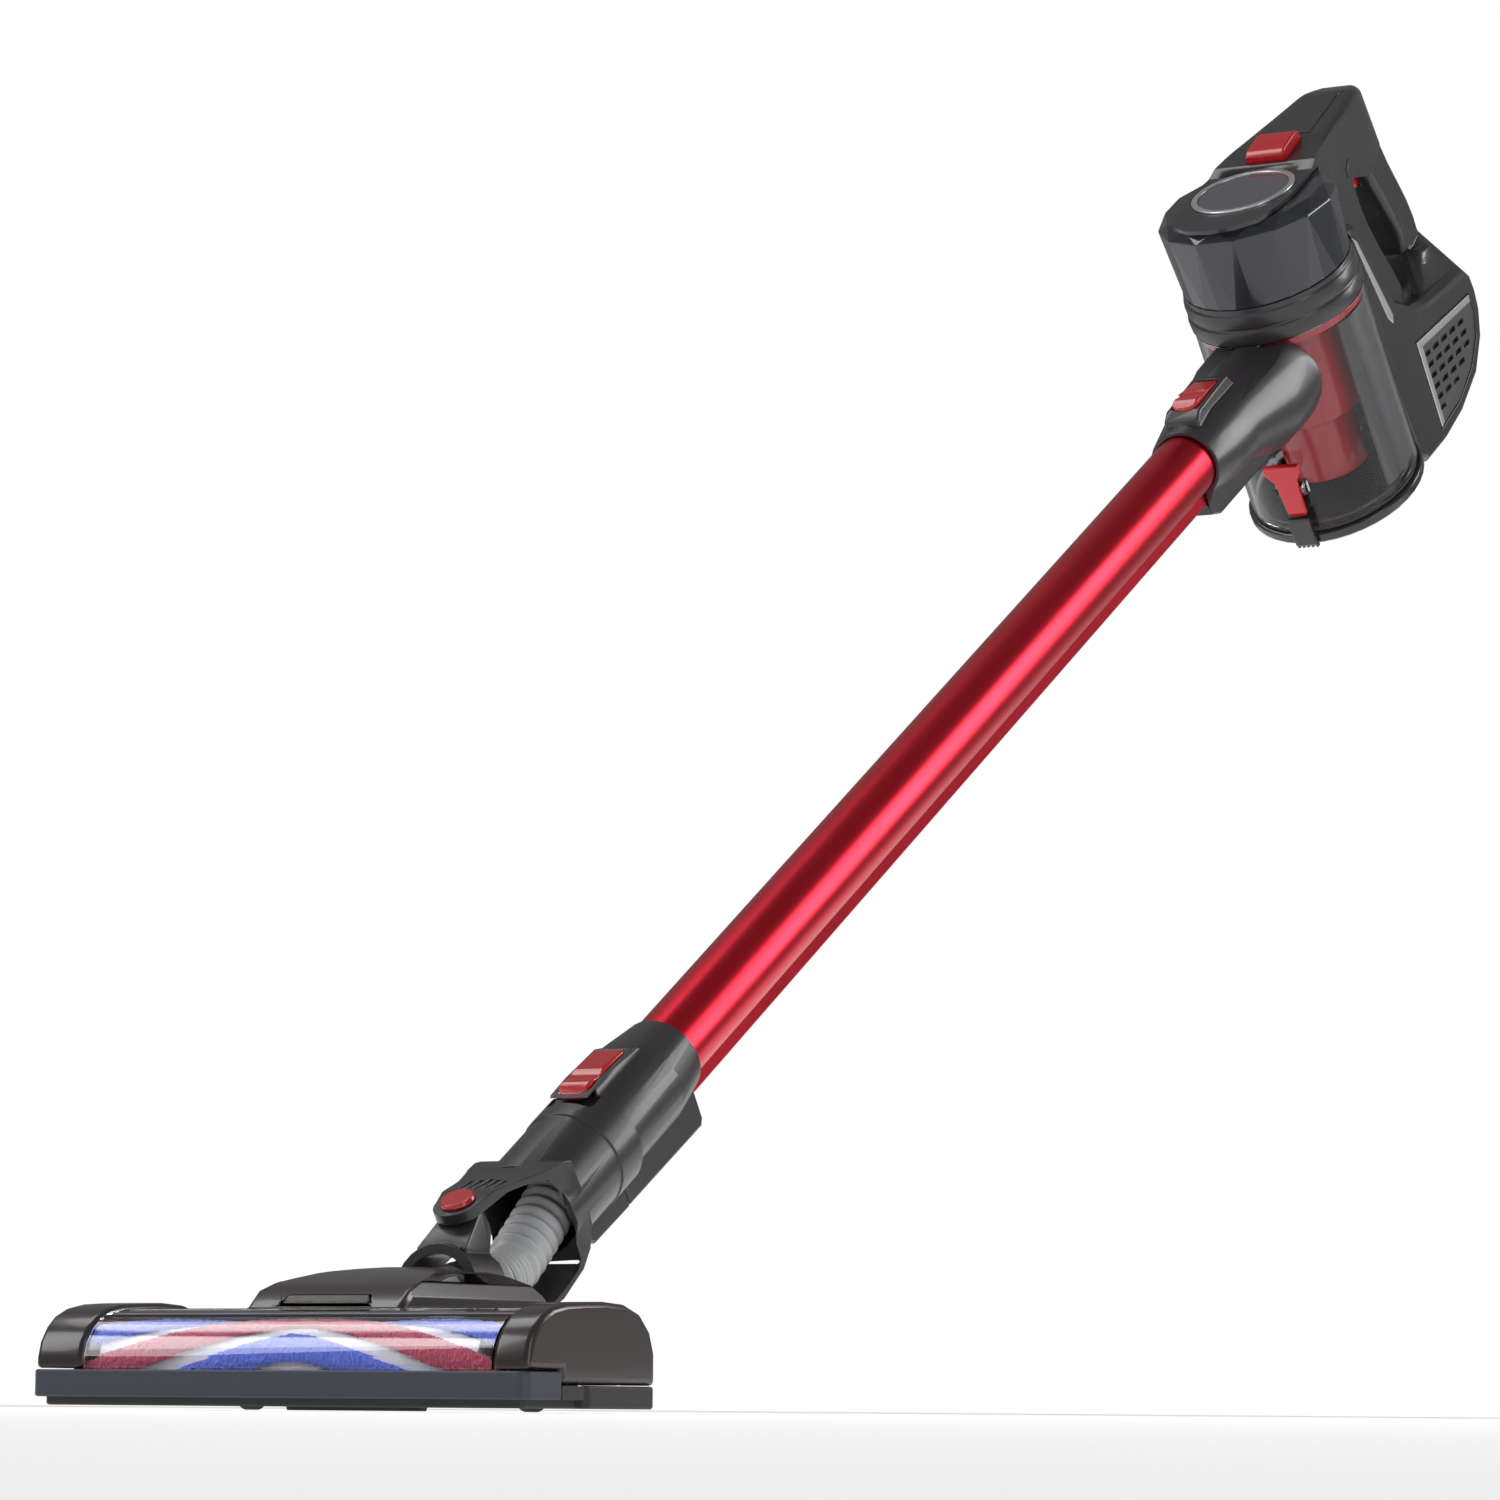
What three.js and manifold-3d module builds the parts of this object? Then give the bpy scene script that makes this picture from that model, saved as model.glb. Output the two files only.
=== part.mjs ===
// Cordless stick vacuum. Millimetres, +Z up, floor at z = 0, X across, the head's front faces -Y.
// Four frames: the head's own, the wand's (y along the tube), the cup's (z along the cup) and the
// hand unit's, which shares the cup's origin and is tipped a little further back.
import * as THREE from "three";
import { ConvexGeometry } from "three/addons/geometries/ConvexGeometry.js";
import { mergeVertices } from "three/addons/utils/BufferGeometryUtils.js";
import Module from "manifold-3d";

const wasm = await Module();
wasm.setup();

// ---- Driving sizes: head ----
const HEAD_W = 250;
const HEAD_D = 101;
const SOLE_Y = 62;
const BASE_Z = 1.5;
const BASE_T = 6;
const SKIRT_TOP = 11;
const COVER_TOP = 43;
const SHELL_T = 2.5;
const CAP_L = 25;
const CAP_R = 18;
const BUMPER_BOTTOM = 5;
const BUMPER_TOP = 16.5;
const BUMPER_SIDE = 27.5;
const BUMPER_T = 3.6;
const LATCH_LEN = 17;
const WINDOW_REAR = 32;
const HOOD_HALF = 40;
const HOOD_REAR = 155;
const THROAT_HALF = 24;
const TAIL_REAR = 121;
const ROLL_Y = 25;
const ROLL_Z = 19.8;
const ROLL_CORE = 15.4;
const ROLL_PILE = 18.4;
const ROLL_SEAT = 16.3;
const ROLL_PITCH = 210;
const MOTOR_R = 13;
const MOTOR_Y = 70;
const MOTOR_Z = 22.6;
const MOTOR_LEN = 60;
const BRUSH_PULLEY_R = 9;
const MOTOR_PULLEY_R = 4.5;
const BELT_T = 1.4;
const BELT_W = 6;
const WHEEL_R = 8;
const WHEEL_W = 9;
const WHEEL_X = 72;
const WHEEL_Y = 87;

// ---- Driving sizes: elbow, neck and wand ----
const WAND_PITCH = 33.2;
const SWIVEL_Y = 154;
const SWIVEL_Z = 65;
const PITCH_Y = 131;
const PITCH_Z = 41;
const TRUNNION_R = 5;
const ELBOW_HALF = 22;
const ELBOW_WALL = 4.7;
const EAR_IN = 25.3;
const EAR_OUT = 30.6;
const EAR_R = 11.6;
const LOW_EAR = 34;
const BRIDGE_IN = 30;
const BRIDGE_OUT = 33.5;
const ARCH_Z = 50.5;
const ARCH_FRONT = 120;
const ARCH_REAR = 146;
const POST_R = 9.4;
const FOOT_R = 10.5;
const PIN_CAP_R = 8.2;
const NECK_R = 25;
const NECK_DROP = 2.5;
const NECK_WALL = 2.4;
const NECK_END = 108;
const SPIGOT_R = 15;
const HOSE_R = 13.4;
const HOSE_WALL = 2;
const HOSE_RIBS = 15;
const WAND_R = 17.5;
const WAND_WALL = 1.2;
const COLLAR_START = 108.8;
const COLLAR_END = 179;
const COLLAR_R = 23.6;
const RIDGE_HALF = 7;
const WAND_RIDGE = 24;
const COLLAR_RIDGE = 38.5;
const DUCT_START = 818;
const DUCT_R = 24.4;
const DUCT_MOUTH_R = 20;
const DUCT_RIDGE = 34;
const SOCKET_DEPTH = 52;
const DUCT_BORE = 13;
const DUCT_DROP = 3.6;

// ---- Driving sizes: hand unit ----
const HAND_TILT = 44.93;
const CUP_TILT = 39.5;
const CUP_Y = 1031.9;
const CUP_Z = 526.4;
const LID_R = 51.8;
const LID_T = 7;
const CUP_LOW_R = 49.6;
const CUP_TOP_R = 49.2;
const CUP_TOP = 123;
const CUP_WALL = 2;
const LINER_W = -20;
const COLLAR_BAND_R = 50.6;
const COLLAR_TOP = 146.5;
const CAP_R_MID = 51;
const CAP_R_TOP = 45.6;
const CAP_FACET = 9;
const CAP_SIDES = 14;
const TOP_V = 196.6;
const TOP_SLOPE = 11.05;
const BADGE_R = 28;
const BADGE_W = 20;
const CYCLONE_R = 33.7;
const CYCLONE_LOW_R = 23;
const CYCLONE_STEP = 62;
const GRIP_HALF = 15.5;
const BLOCK_HALF = 38;
const FAN_R = 33;
const CUP_BOTTOM = 8.6;
const HINGE_W = 60;
const HINGE_V = -6;
const HINGE_X = 10;
const PIVOT_V = 37;
const LATCH_W = -49.8;
const DECK_T = 2.4;
const BLOCK_FRONT = 53;
const PANEL_LIFT = 4.8;
const CELL_R = 9.2;
const CELL_LEN = 65;
const CELL_PITCH = 18.2;
const TRIGGER_REAR = 142.6;
const TRIGGER_TRAVEL = 3.4;
const KEY_TRAVEL = 2;

// ---- Fits ----
const GAP = 0.3;
const RUN = 0.5;

const BLACK = 0x26221f;
const SOOT = 0x161414;
const RED = 0xb0121f;
const WAND_RED = 0xc0141c;
const GREY = 0x8f9296;
const BUMPER = 0x3d444c;
const CLEAR = 0xcfd6da;
const SMOKE = 0x3b3d46;
const SILVER = 0xb8b9bb;
const BLUE = 0x2c3fb4;
const PILE_RED = 0xa3213a;
const PILE_WHITE = 0xe6e6ee;
const STEEL = 0x9da0a4;
const GREEN = 0x1d5c38;

const rad = (d) => (d * Math.PI) / 180;
const group = new THREE.Group();
const headFrame = new THREE.Group();
headFrame.position.set(0, -SOLE_Y, 0);
const wandFrame = new THREE.Group();
wandFrame.position.set(0, SWIVEL_Y - SOLE_Y, SWIVEL_Z);
wandFrame.rotation.x = rad(WAND_PITCH);
const handFrame = new THREE.Group();
handFrame.position.set(0, CUP_Y - SOLE_Y, CUP_Z);
handFrame.rotation.x = rad(HAND_TILT);
const cupFrame = new THREE.Group();
cupFrame.position.copy(handFrame.position);
cupFrame.rotation.x = rad(CUP_TILT);
group.add(headFrame, wandFrame, handFrame, cupFrame);

// ---- Solid helpers ----
function toSolid(geometry) {
  const plain = geometry.index ? geometry.toNonIndexed() : geometry.clone();
  const bare = new THREE.BufferGeometry();
  bare.setAttribute("position", plain.getAttribute("position"));
  const merged = mergeVertices(bare, 1e-4);
  const mesh = new wasm.Mesh({
    numProp: 3,
    vertProperties: merged.attributes.position.array,
    triVerts: new Uint32Array(merged.index.array),
  });
  return new wasm.Manifold(mesh);
}

function toGeometry(solid) {
  const mesh = solid.getMesh();
  const geometry = new THREE.BufferGeometry();
  const position = new THREE.BufferAttribute(new Float32Array(mesh.vertProperties), 3);
  geometry.setAttribute("position", position);
  geometry.setIndex(new THREE.BufferAttribute(new Uint32Array(mesh.triVerts), 1));
  return geometry;
}

function add(frame, name, solid, color) {
  const geometry = toGeometry(solid);
  geometry.computeVertexNormals();
  const material = new THREE.MeshStandardMaterial({ color, roughness: 0.45 });
  const mesh = new THREE.Mesh(geometry, material);
  mesh.name = name;
  frame.add(mesh);
}

function box(x0, x1, y0, y1, z0, z1) {
  const geometry = new THREE.BoxGeometry(x1 - x0, y1 - y0, z1 - z0);
  geometry.translate((x0 + x1) / 2, (y0 + y1) / 2, (z0 + z1) / 2);
  return toSolid(geometry);
}

// A turned solid about Z from [radius, z] pairs that start and end on the axis.
function turned(profile, segments) {
  const points = profile.map(([r, z]) => new THREE.Vector2(r, z));
  const geometry = new THREE.LatheGeometry(points, segments);
  geometry.rotateX(Math.PI / 2);
  const solid = toSolid(geometry);
  return solid.volume() < 0 ? flipped(geometry) : solid;
}

function flipped(geometry) {
  const plain = geometry.toNonIndexed();
  const p = plain.attributes.position.array;
  for (let i = 0; i < p.length; i += 9) {
    for (let k = 0; k < 3; k++) {
      [p[i + 3 + k], p[i + 6 + k]] = [p[i + 6 + k], p[i + 3 + k]];
    }
  }
  return toSolid(plain);
}

function rod(r, z0, z1, segments = 32, r2 = r) {
  return turned([[0, z0], [r, z0], [r2, z1], [0, z1]], segments);
}

// Z-turned solids laid along X or Y; the old +Z end points along the new axis.
const alongX = (solid) => solid.rotate([0, 90, 0]);
const alongY = (solid) => solid.rotate([-90, 0, 0]);

// A side profile of [y, z] points pushed out across X, with rounded rims.
function slab(points, x0, x1, bevel = 0, steps = 2) {
  const shape = new THREE.Shape(points.map(([y, z]) => new THREE.Vector2(y, z)));
  const geometry = new THREE.ExtrudeGeometry(shape, {
    depth: x1 - x0 - 2 * bevel,
    bevelEnabled: bevel > 0,
    bevelSize: bevel,
    bevelThickness: bevel,
    bevelOffset: -bevel,
    bevelSegments: steps,
    curveSegments: 8,
  });
  geometry.translate(0, 0, x0 + bevel);
  const turn = new THREE.Matrix4().makeBasis(
    new THREE.Vector3(0, 1, 0),
    new THREE.Vector3(0, 0, 1),
    new THREE.Vector3(1, 0, 0),
  );
  geometry.applyMatrix4(turn);
  return toSolid(geometry);
}

// A plan outline of [x, y] points raised from z0 to z1.
function plate(points, z0, z1, bevel = 0, steps = 2) {
  const shape = new THREE.Shape(points.map(([x, y]) => new THREE.Vector2(x, y)));
  const geometry = new THREE.ExtrudeGeometry(shape, {
    depth: z1 - z0 - 2 * bevel,
    bevelEnabled: bevel > 0,
    bevelSize: bevel,
    bevelThickness: bevel,
    bevelOffset: -bevel,
    bevelSegments: steps,
    curveSegments: 8,
  });
  geometry.translate(0, 0, z0 + bevel);
  return toSolid(geometry);
}

function roundRect(x0, x1, y0, y1, r, n = 4) {
  const points = [];
  const corners = [
    [x1 - r, y0 + r, -90], [x1 - r, y1 - r, 0], [x0 + r, y1 - r, 90], [x0 + r, y0 + r, 180],
  ];
  for (const [cx, cy, from] of corners) {
    for (let i = 0; i <= n; i++) {
      const a = rad(from + (90 * i) / n);
      points.push([cx + r * Math.cos(a), cy + r * Math.sin(a)]);
    }
  }
  return points;
}

function oval(cx, cy, rx, ry, n) {
  const points = [];
  for (let i = 0; i < n; i++) {
    const a = (2 * Math.PI * i) / n;
    points.push([cx + rx * Math.cos(a), cy + ry * Math.sin(a)]);
  }
  return points;
}

function ringOf(rIn, rOut, z0, z1, segments = 36) {
  return turned([[0, z0], [rOut, z0], [rOut, z1], [0, z1]], segments)
    .subtract(turned([[0, z0 - 1], [rIn, z0 - 1], [rIn, z1 + 1], [0, z1 + 1]], segments));
}

// ---- Head ----
const half = HEAD_W / 2;
const coverLeft = -half + CAP_L + GAP;
const coverRight = half - CAP_R - GAP;

function headBase() {
  const outline = roundRect(-half + 4, half - 4, BUMPER_T + GAP, HEAD_D - 1, 3);
  let base = plate(outline, BASE_Z, BASE_Z + BASE_T, 1);
  const skirt = plate(roundRect(-half, half, BUMPER_SIDE + LATCH_LEN + 1, HEAD_D, 4), BASE_Z, SKIRT_TOP, 1);
  const hollow = box(-half + 3.2, half - 3.2, 0, HEAD_D - 3, BASE_Z + BASE_T, 40);
  base = base.add(skirt.subtract(hollow));
  const tail = plate(roundRect(-HOOD_HALF + 1, HOOD_HALF - 1, HEAD_D - 20, TAIL_REAR, 8), 4.5, 9, 1);
  base = base.subtract(box(-HOOD_HALF - 0.5, HOOD_HALF + 0.5, HEAD_D - 6, HEAD_D + 5, 9, 20)).add(tail);
  const slot = box(-ROLL_END - 1, ROLL_END + 1, 8, 45, -5, 20);
  base = base.subtract(slot);
  for (const x of [-WHEEL_X, WHEEL_X]) {
    base = base.subtract(box(x - 6, x + 6, WHEEL_Y - 10, WHEEL_Y + 10, -2, 20));
  }
  const runner = plate(roundRect(-34, 34, SOLE_Y - 5, SOLE_Y + 5, 3), 0, BASE_Z + 1);
  return base.add(runner);
}

function brushWindow() {
  const outer = [
    [3.2, 17.2], [3.4, 22], [5.2, 28], [9, 33.5], [14.5, 38], [22, 41.2],
    [WINDOW_REAR, COVER_TOP - 0.6],
  ];
  const inner = outer.map(([y, z]) => [y + 1.9 * (1 - y / 40), z - 1.9 * Math.min(1, (y + 3) / 22)]);
  inner[0] = [5.2, 17.2];
  inner[inner.length - 1][0] = WINDOW_REAR;
  const profile = [...outer, ...inner.reverse()];
  return slab(profile.reverse(), coverLeft, coverRight);
}

function headCover() {
  const t = SHELL_T;
  const rear = HEAD_D - 0.4;
  const low = SKIRT_TOP + GAP;
  const outer = [
    [WINDOW_REAR + GAP, COVER_TOP - 0.4], [60, COVER_TOP], [80, COVER_TOP - 1.2], [92, 38],
    [98.5, 31],
  ];
  outer.push([rear, 23], [rear, low]);
  const inner = [[rear - t, low], [rear - t, 22.4], [96, 29.8], [90, 35.6], [79.4, COVER_TOP - 1.2 - t]];
  inner.push(
    [60, COVER_TOP - t], [WINDOW_REAR + t, COVER_TOP - t], [WINDOW_REAR + t, 38.2],
    [WINDOW_REAR + GAP, 38.2],
  );
  const main = slab([...outer, ...inner].reverse(), coverLeft, coverRight);
  const arch = [
    [34, 36], [35, 42.5], [44, 50.6], [53, 53.6], [64, 56.2], [80, 59.4], [98, 61.4], [112, 61.2],
  ];
  arch.push(
    [126, 59], [138, 55], [147, 50.2], [153, 45], [HOOD_REAR, 39], [HOOD_REAR, 20], [150, 12],
    [142, 9.3],
  );
  arch.push([HEAD_D - 2, 9.3], [HEAD_D - 2, 36]);
  let hood = slab(arch, -HOOD_HALF, HOOD_HALF, 3.4, 3);
  const crown = [
    [-HOOD_HALF, 5], [HOOD_HALF, 5], [HOOD_HALF, 47], [37.4, 54], [31, 58.2], [20, 60.6],
    [8, 61.6],
  ];
  crown.push([-8, 61.6], [-20, 60.6], [-31, 58.2], [-37.4, 54], [-HOOD_HALF, 47]);
  const shape = new THREE.Shape(crown.map(([x, z]) => new THREE.Vector2(x, z)));
  const across = new THREE.ExtrudeGeometry(shape, { depth: 140, bevelEnabled: false });
  across.rotateX(Math.PI / 2);
  across.translate(0, 165, 0);
  hood = hood.intersect(toSolid(across));
  const inside = arch.map(([y, z]) => [94 + (y - 94) * 0.93, 34 + (z - 34) * 0.88]);
  const front = slab(inside, -HOOD_HALF + 3.4, HOOD_HALF - 3.4).intersect(box(-50, 50, 0, 106, 0, 90));
  const throat = box(-THROAT_HALF, THROAT_HALF, 104, HOOD_REAR + 10, 16, 90)
    .add(box(-THROAT_HALF, THROAT_HALF, TAIL_REAR + 1, HOOD_REAR + 10, 0, 90));
  hood = hood.subtract(front).subtract(throat);
  hood = hood.subtract(box(-THROAT_HALF, THROAT_HALF, 46, 120, 9, 40));
  let cover = main.subtract(box(-HOOD_HALF + 4, HOOD_HALF - 4, 46, 120, 9, 60)).add(hood);
  cover = cover.subtract(lensBlock(0.4)).subtract(box(-23, 23, 37.6, 60, 30, 45.5));
  const trunnion = alongX(rod(TRUNNION_R + RUN, -34, 34)).translate([0, PITCH_Y, PITCH_Z]);
  cover = cover.subtract(trunnion);
  return cover.subtract(box(-THROAT_HALF + 0.01, THROAT_HALF - 0.01, HEAD_D - 10, 120, 5, 14));
}

// The lamp lens is a trapezoid let into the sloping front of the hood.
function lensBlock(grow) {
  const bottom = 24 + grow;
  const top = 20.4 + grow;
  const points = [];
  for (const [x, y, z] of [[bottom, 33.4 - grow, 39], [top, 40.6, 47.9 + grow]]) {
    for (const sx of [-1, 1]) {
      points.push(new THREE.Vector3(sx * x, y - 0.2, z + 0.4));
      points.push(new THREE.Vector3(sx * x, y + 3 + grow, z - 2.4 - grow));
    }
  }
  return toSolid(new ConvexGeometry(points));
}

function ledBoard() {
  let out = lensBlock(-2).translate([0, 3.9, -3.2]);
  for (const x of [-9, 9]) {
    out = out.add(rod(2.2, -0.8, 1.4, 12).rotate([51.3, 0, 0]).translate([x, 41.6, 39.7]));
  }
  return out;
}

const capProfile = [
  [2.6, 17], [2.8, 22], [4.6, 28.6], [8.6, 34.6], [14, 39.2], [22, 42.6], [32, 44.4], [46, 45.2],
];
capProfile.push(
  [62, 45.6], [77, 44.8], [89, 41], [96.6, 34], [100.2, 25], [HEAD_D - 0.6, SKIRT_TOP + GAP],
);

function endCap(side) {
  const x0 = side < 0 ? -half : half - CAP_R;
  const x1 = side < 0 ? -half + CAP_L : half;
  const low = SKIRT_TOP + GAP;
  const profile = [
    ...capProfile, [BUMPER_SIDE + LATCH_LEN + 0.6, low], [BUMPER_SIDE + GAP, low],
    [BUMPER_SIDE + GAP, 17],
  ];
  let cap = slab(profile.reverse(), x0, x1, 3, 3);
  const inner = side < 0 ? [x0 + 4, x1 + 1] : [x0 - 1, x1 - 4];
  const hollow = [[7, 9], [7.4, 26], [15, 35.4], [30, 41], [62, 41.6], [84, 35.4], [95, 22], [96, 9]];
  cap = cap.subtract(slab(hollow.reverse(), inner[0], inner[1]));
  return cap;
}

function bumper() {
  const outer = roundRect(-half - 0.2, half + 0.2, 0, 2 * BUMPER_SIDE, 5, 4);
  const inner = roundRect(-half + BUMPER_T, half - BUMPER_T, BUMPER_T, 2 * BUMPER_SIDE, 3, 3);
  let strip = plate(outer, BUMPER_BOTTOM, BUMPER_TOP, 0.8).subtract(plate(inner, 0, 30));
  strip = strip.subtract(box(-140, 140, BUMPER_SIDE, 70, 0, 40));
  return strip;
}

function sideLatch() {
  const y0 = BUMPER_SIDE + GAP;
  const y1 = BUMPER_SIDE + LATCH_LEN;
  return box(half - 2.4, half + 0.1, y0 + 0.1, y1, BUMPER_BOTTOM, SKIRT_TOP - 0.2)
    .add(box(half - 2.4, half - 1, y0 + 3, y1 - 3, SKIRT_TOP - 0.4, SKIRT_TOP - 0.1));
}

// One pile strip is wound from each end to meet in a chevron at the middle.
function pileStrip(startDeg, widthDeg) {
  const len = 2 * ROLL_END;
  const stations = 24;
  const around = 4;
  const rings = [];
  for (let i = 0; i <= stations; i++) {
    const x = -ROLL_END + (len * i) / stations;
    const turn = startDeg + (360 * Math.abs(x - 4)) / ROLL_PITCH;
    const ring = [];
    for (let k = 0; k <= around; k++) ring.push([ROLL_PILE, turn + (widthDeg * k) / around]);
    for (let k = around; k >= 0; k--) ring.push([ROLL_SEAT, turn + (widthDeg * k) / around]);
    rings.push(ring.map(([r, a]) => [x, r * Math.cos(rad(a)), r * Math.sin(rad(a))]));
  }
  return skin(rings);
}

// Joins matching rings of points into one closed body.
function skin(rings) {
  const m = rings[0].length;
  const tris = [];
  const last = rings.length - 1;
  for (let i = 0; i < last; i++) {
    for (let k = 0; k < m; k++) {
      const n = (k + 1) % m;
      tris.push(rings[i][k], rings[i + 1][n], rings[i][n], rings[i][k], rings[i + 1][k], rings[i + 1][n]);
    }
  }
  const pairs = m / 2;
  for (let k = 0; k < pairs - 1; k++) {
    const a = m - 1 - k;
    const f = rings[0];
    const b = rings[last];
    tris.push(f[k], f[k + 1], f[a - 1], f[k], f[a - 1], f[a]);
    tris.push(b[k], b[a - 1], b[k + 1], b[k], b[a], b[a - 1]);
  }
  const geometry = new THREE.BufferGeometry();
  geometry.setAttribute("position", new THREE.BufferAttribute(new Float32Array(tris.flat(2)), 3));
  const merged = mergeVertices(geometry, 1e-4);
  let solid = toSolid(merged);
  if (solid.volume() < 0) solid = flipped(merged);
  return solid;
}

const ROLL_END = Math.min(-coverLeft, coverRight) - 4;
const rollAt = (solid) => alongX(solid).translate([0, ROLL_Y, ROLL_Z]);

function brushCore() {
  let core = rod(ROLL_CORE, -ROLL_END, ROLL_END, 32);
  core = core.add(rod(4, -ROLL_END - 5, ROLL_END + 5, 16));
  core = core.add(rod(BRUSH_PULLEY_R, -ROLL_END - 0.01 - 9, -ROLL_END, 28));
  return rollAt(core);
}

function brushBearing(side) {
  const x = side < 0 ? coverLeft - 14 : ROLL_END + 1.4;
  const blank = rod(9, x, x + 4.6, 24);
  const bore = rod(4 + RUN, x - 10, x + 20, 16);
  return rollAt(blank.subtract(bore));
}

function beltDrive() {
  const x = -ROLL_END - 5;
  const a = [ROLL_Y, ROLL_Z, BRUSH_PULLEY_R + GAP];
  const b = [MOTOR_Y, MOTOR_Z, MOTOR_PULLEY_R + GAP];
  const band = (grow) => {
    const disc = ([y, z, r]) => alongX(rod(r + grow, x - 9, x + 9, 24)).translate([0, y, z]);
    return wasm.Manifold.hull([disc(a), disc(b)]);
  };
  const window = box(x - BELT_W / 2, x + BELT_W / 2, 0, 100, 0, 60);
  return band(BELT_T).subtract(band(0)).intersect(window);
}

function driveMotor() {
  const x0 = -ROLL_END + 4;
  const body = rod(MOTOR_R, x0, x0 + MOTOR_LEN, 28).add(rod(5, x0 - 3, x0, 20));
  const socket = rod(2 + RUN, x0 - 5, x0 + 20, 12);
  return alongX(body.subtract(socket)).translate([0, MOTOR_Y, MOTOR_Z]);
}

function motorPulley() {
  const x0 = -ROLL_END + 4;
  const p = rod(MOTOR_PULLEY_R, -ROLL_END - 9, x0 - 4, 20).add(rod(2, x0 - 4.01, x0 + 18, 12));
  return alongX(p).translate([0, MOTOR_Y, MOTOR_Z]);
}

function wheel(x) {
  const tyre = turned([[0, -4.5], [7, -4.5], [WHEEL_R, -3], [WHEEL_R, 3], [7, 4.5], [0, 4.5]], 28);
  const bore = rod(2 + RUN, -20, 20, 14);
  return alongX(tyre.subtract(bore)).translate([x, WHEEL_Y, WHEEL_R]);
}

function wheelAxle(x) {
  return alongX(rod(2, -5.7, 5.7, 12)).translate([x, WHEEL_Y, WHEEL_R]);
}

add(headFrame, "head_base", headBase(), BLACK);
add(headFrame, "head_cover", headCover(), BLACK);
add(headFrame, "left_end_cap", endCap(-1), BLACK);
add(headFrame, "right_end_cap", endCap(1), BLACK);
add(headFrame, "brush_window", brushWindow(), CLEAR);
add(headFrame, "front_bumper", bumper(), BUMPER);
add(headFrame, "end_cap_latch", sideLatch(), BLACK);
add(headFrame, "lamp_lens", lensBlock(0), CLEAR);
add(headFrame, "led_board", ledBoard(), 0xd8d2b8);
add(headFrame, "brush_core", brushCore(), PILE_WHITE);
add(headFrame, "pile_blue", rollAt(pileStrip(120, 62).rotate([0, -90, 0])), BLUE);
add(headFrame, "pile_red", rollAt(pileStrip(-60, 62).rotate([0, -90, 0])), PILE_RED);
add(headFrame, "brush_bearing_left", brushBearing(-1), SOOT);
add(headFrame, "brush_bearing_right", brushBearing(1), SOOT);
add(headFrame, "drive_belt", beltDrive(), SOOT);
add(headFrame, "brush_motor", driveMotor(), STEEL);
add(headFrame, "motor_pulley", motorPulley(), STEEL);
add(headFrame, "wheel_left", wheel(-WHEEL_X), SOOT);
add(headFrame, "wheel_right", wheel(WHEEL_X), SOOT);
add(headFrame, "wheel_axle_left", wheelAxle(-WHEEL_X), STEEL);
add(headFrame, "wheel_axle_right", wheelAxle(WHEEL_X), STEEL);

// ---- Elbow, neck and hose ----
const pitchAt = () => {
  const dy = PITCH_Y - SWIVEL_Y;
  const dz = PITCH_Z - SWIVEL_Z;
  const c = Math.cos(rad(WAND_PITCH));
  const q = Math.sin(rad(WAND_PITCH));
  return [dy * c + dz * q, dz * c - dy * q];
};

const headToWand = (solid) => solid.translate([0, -SWIVEL_Y, -SWIVEL_Z]).rotate([-WAND_PITCH, 0, 0]);

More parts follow.
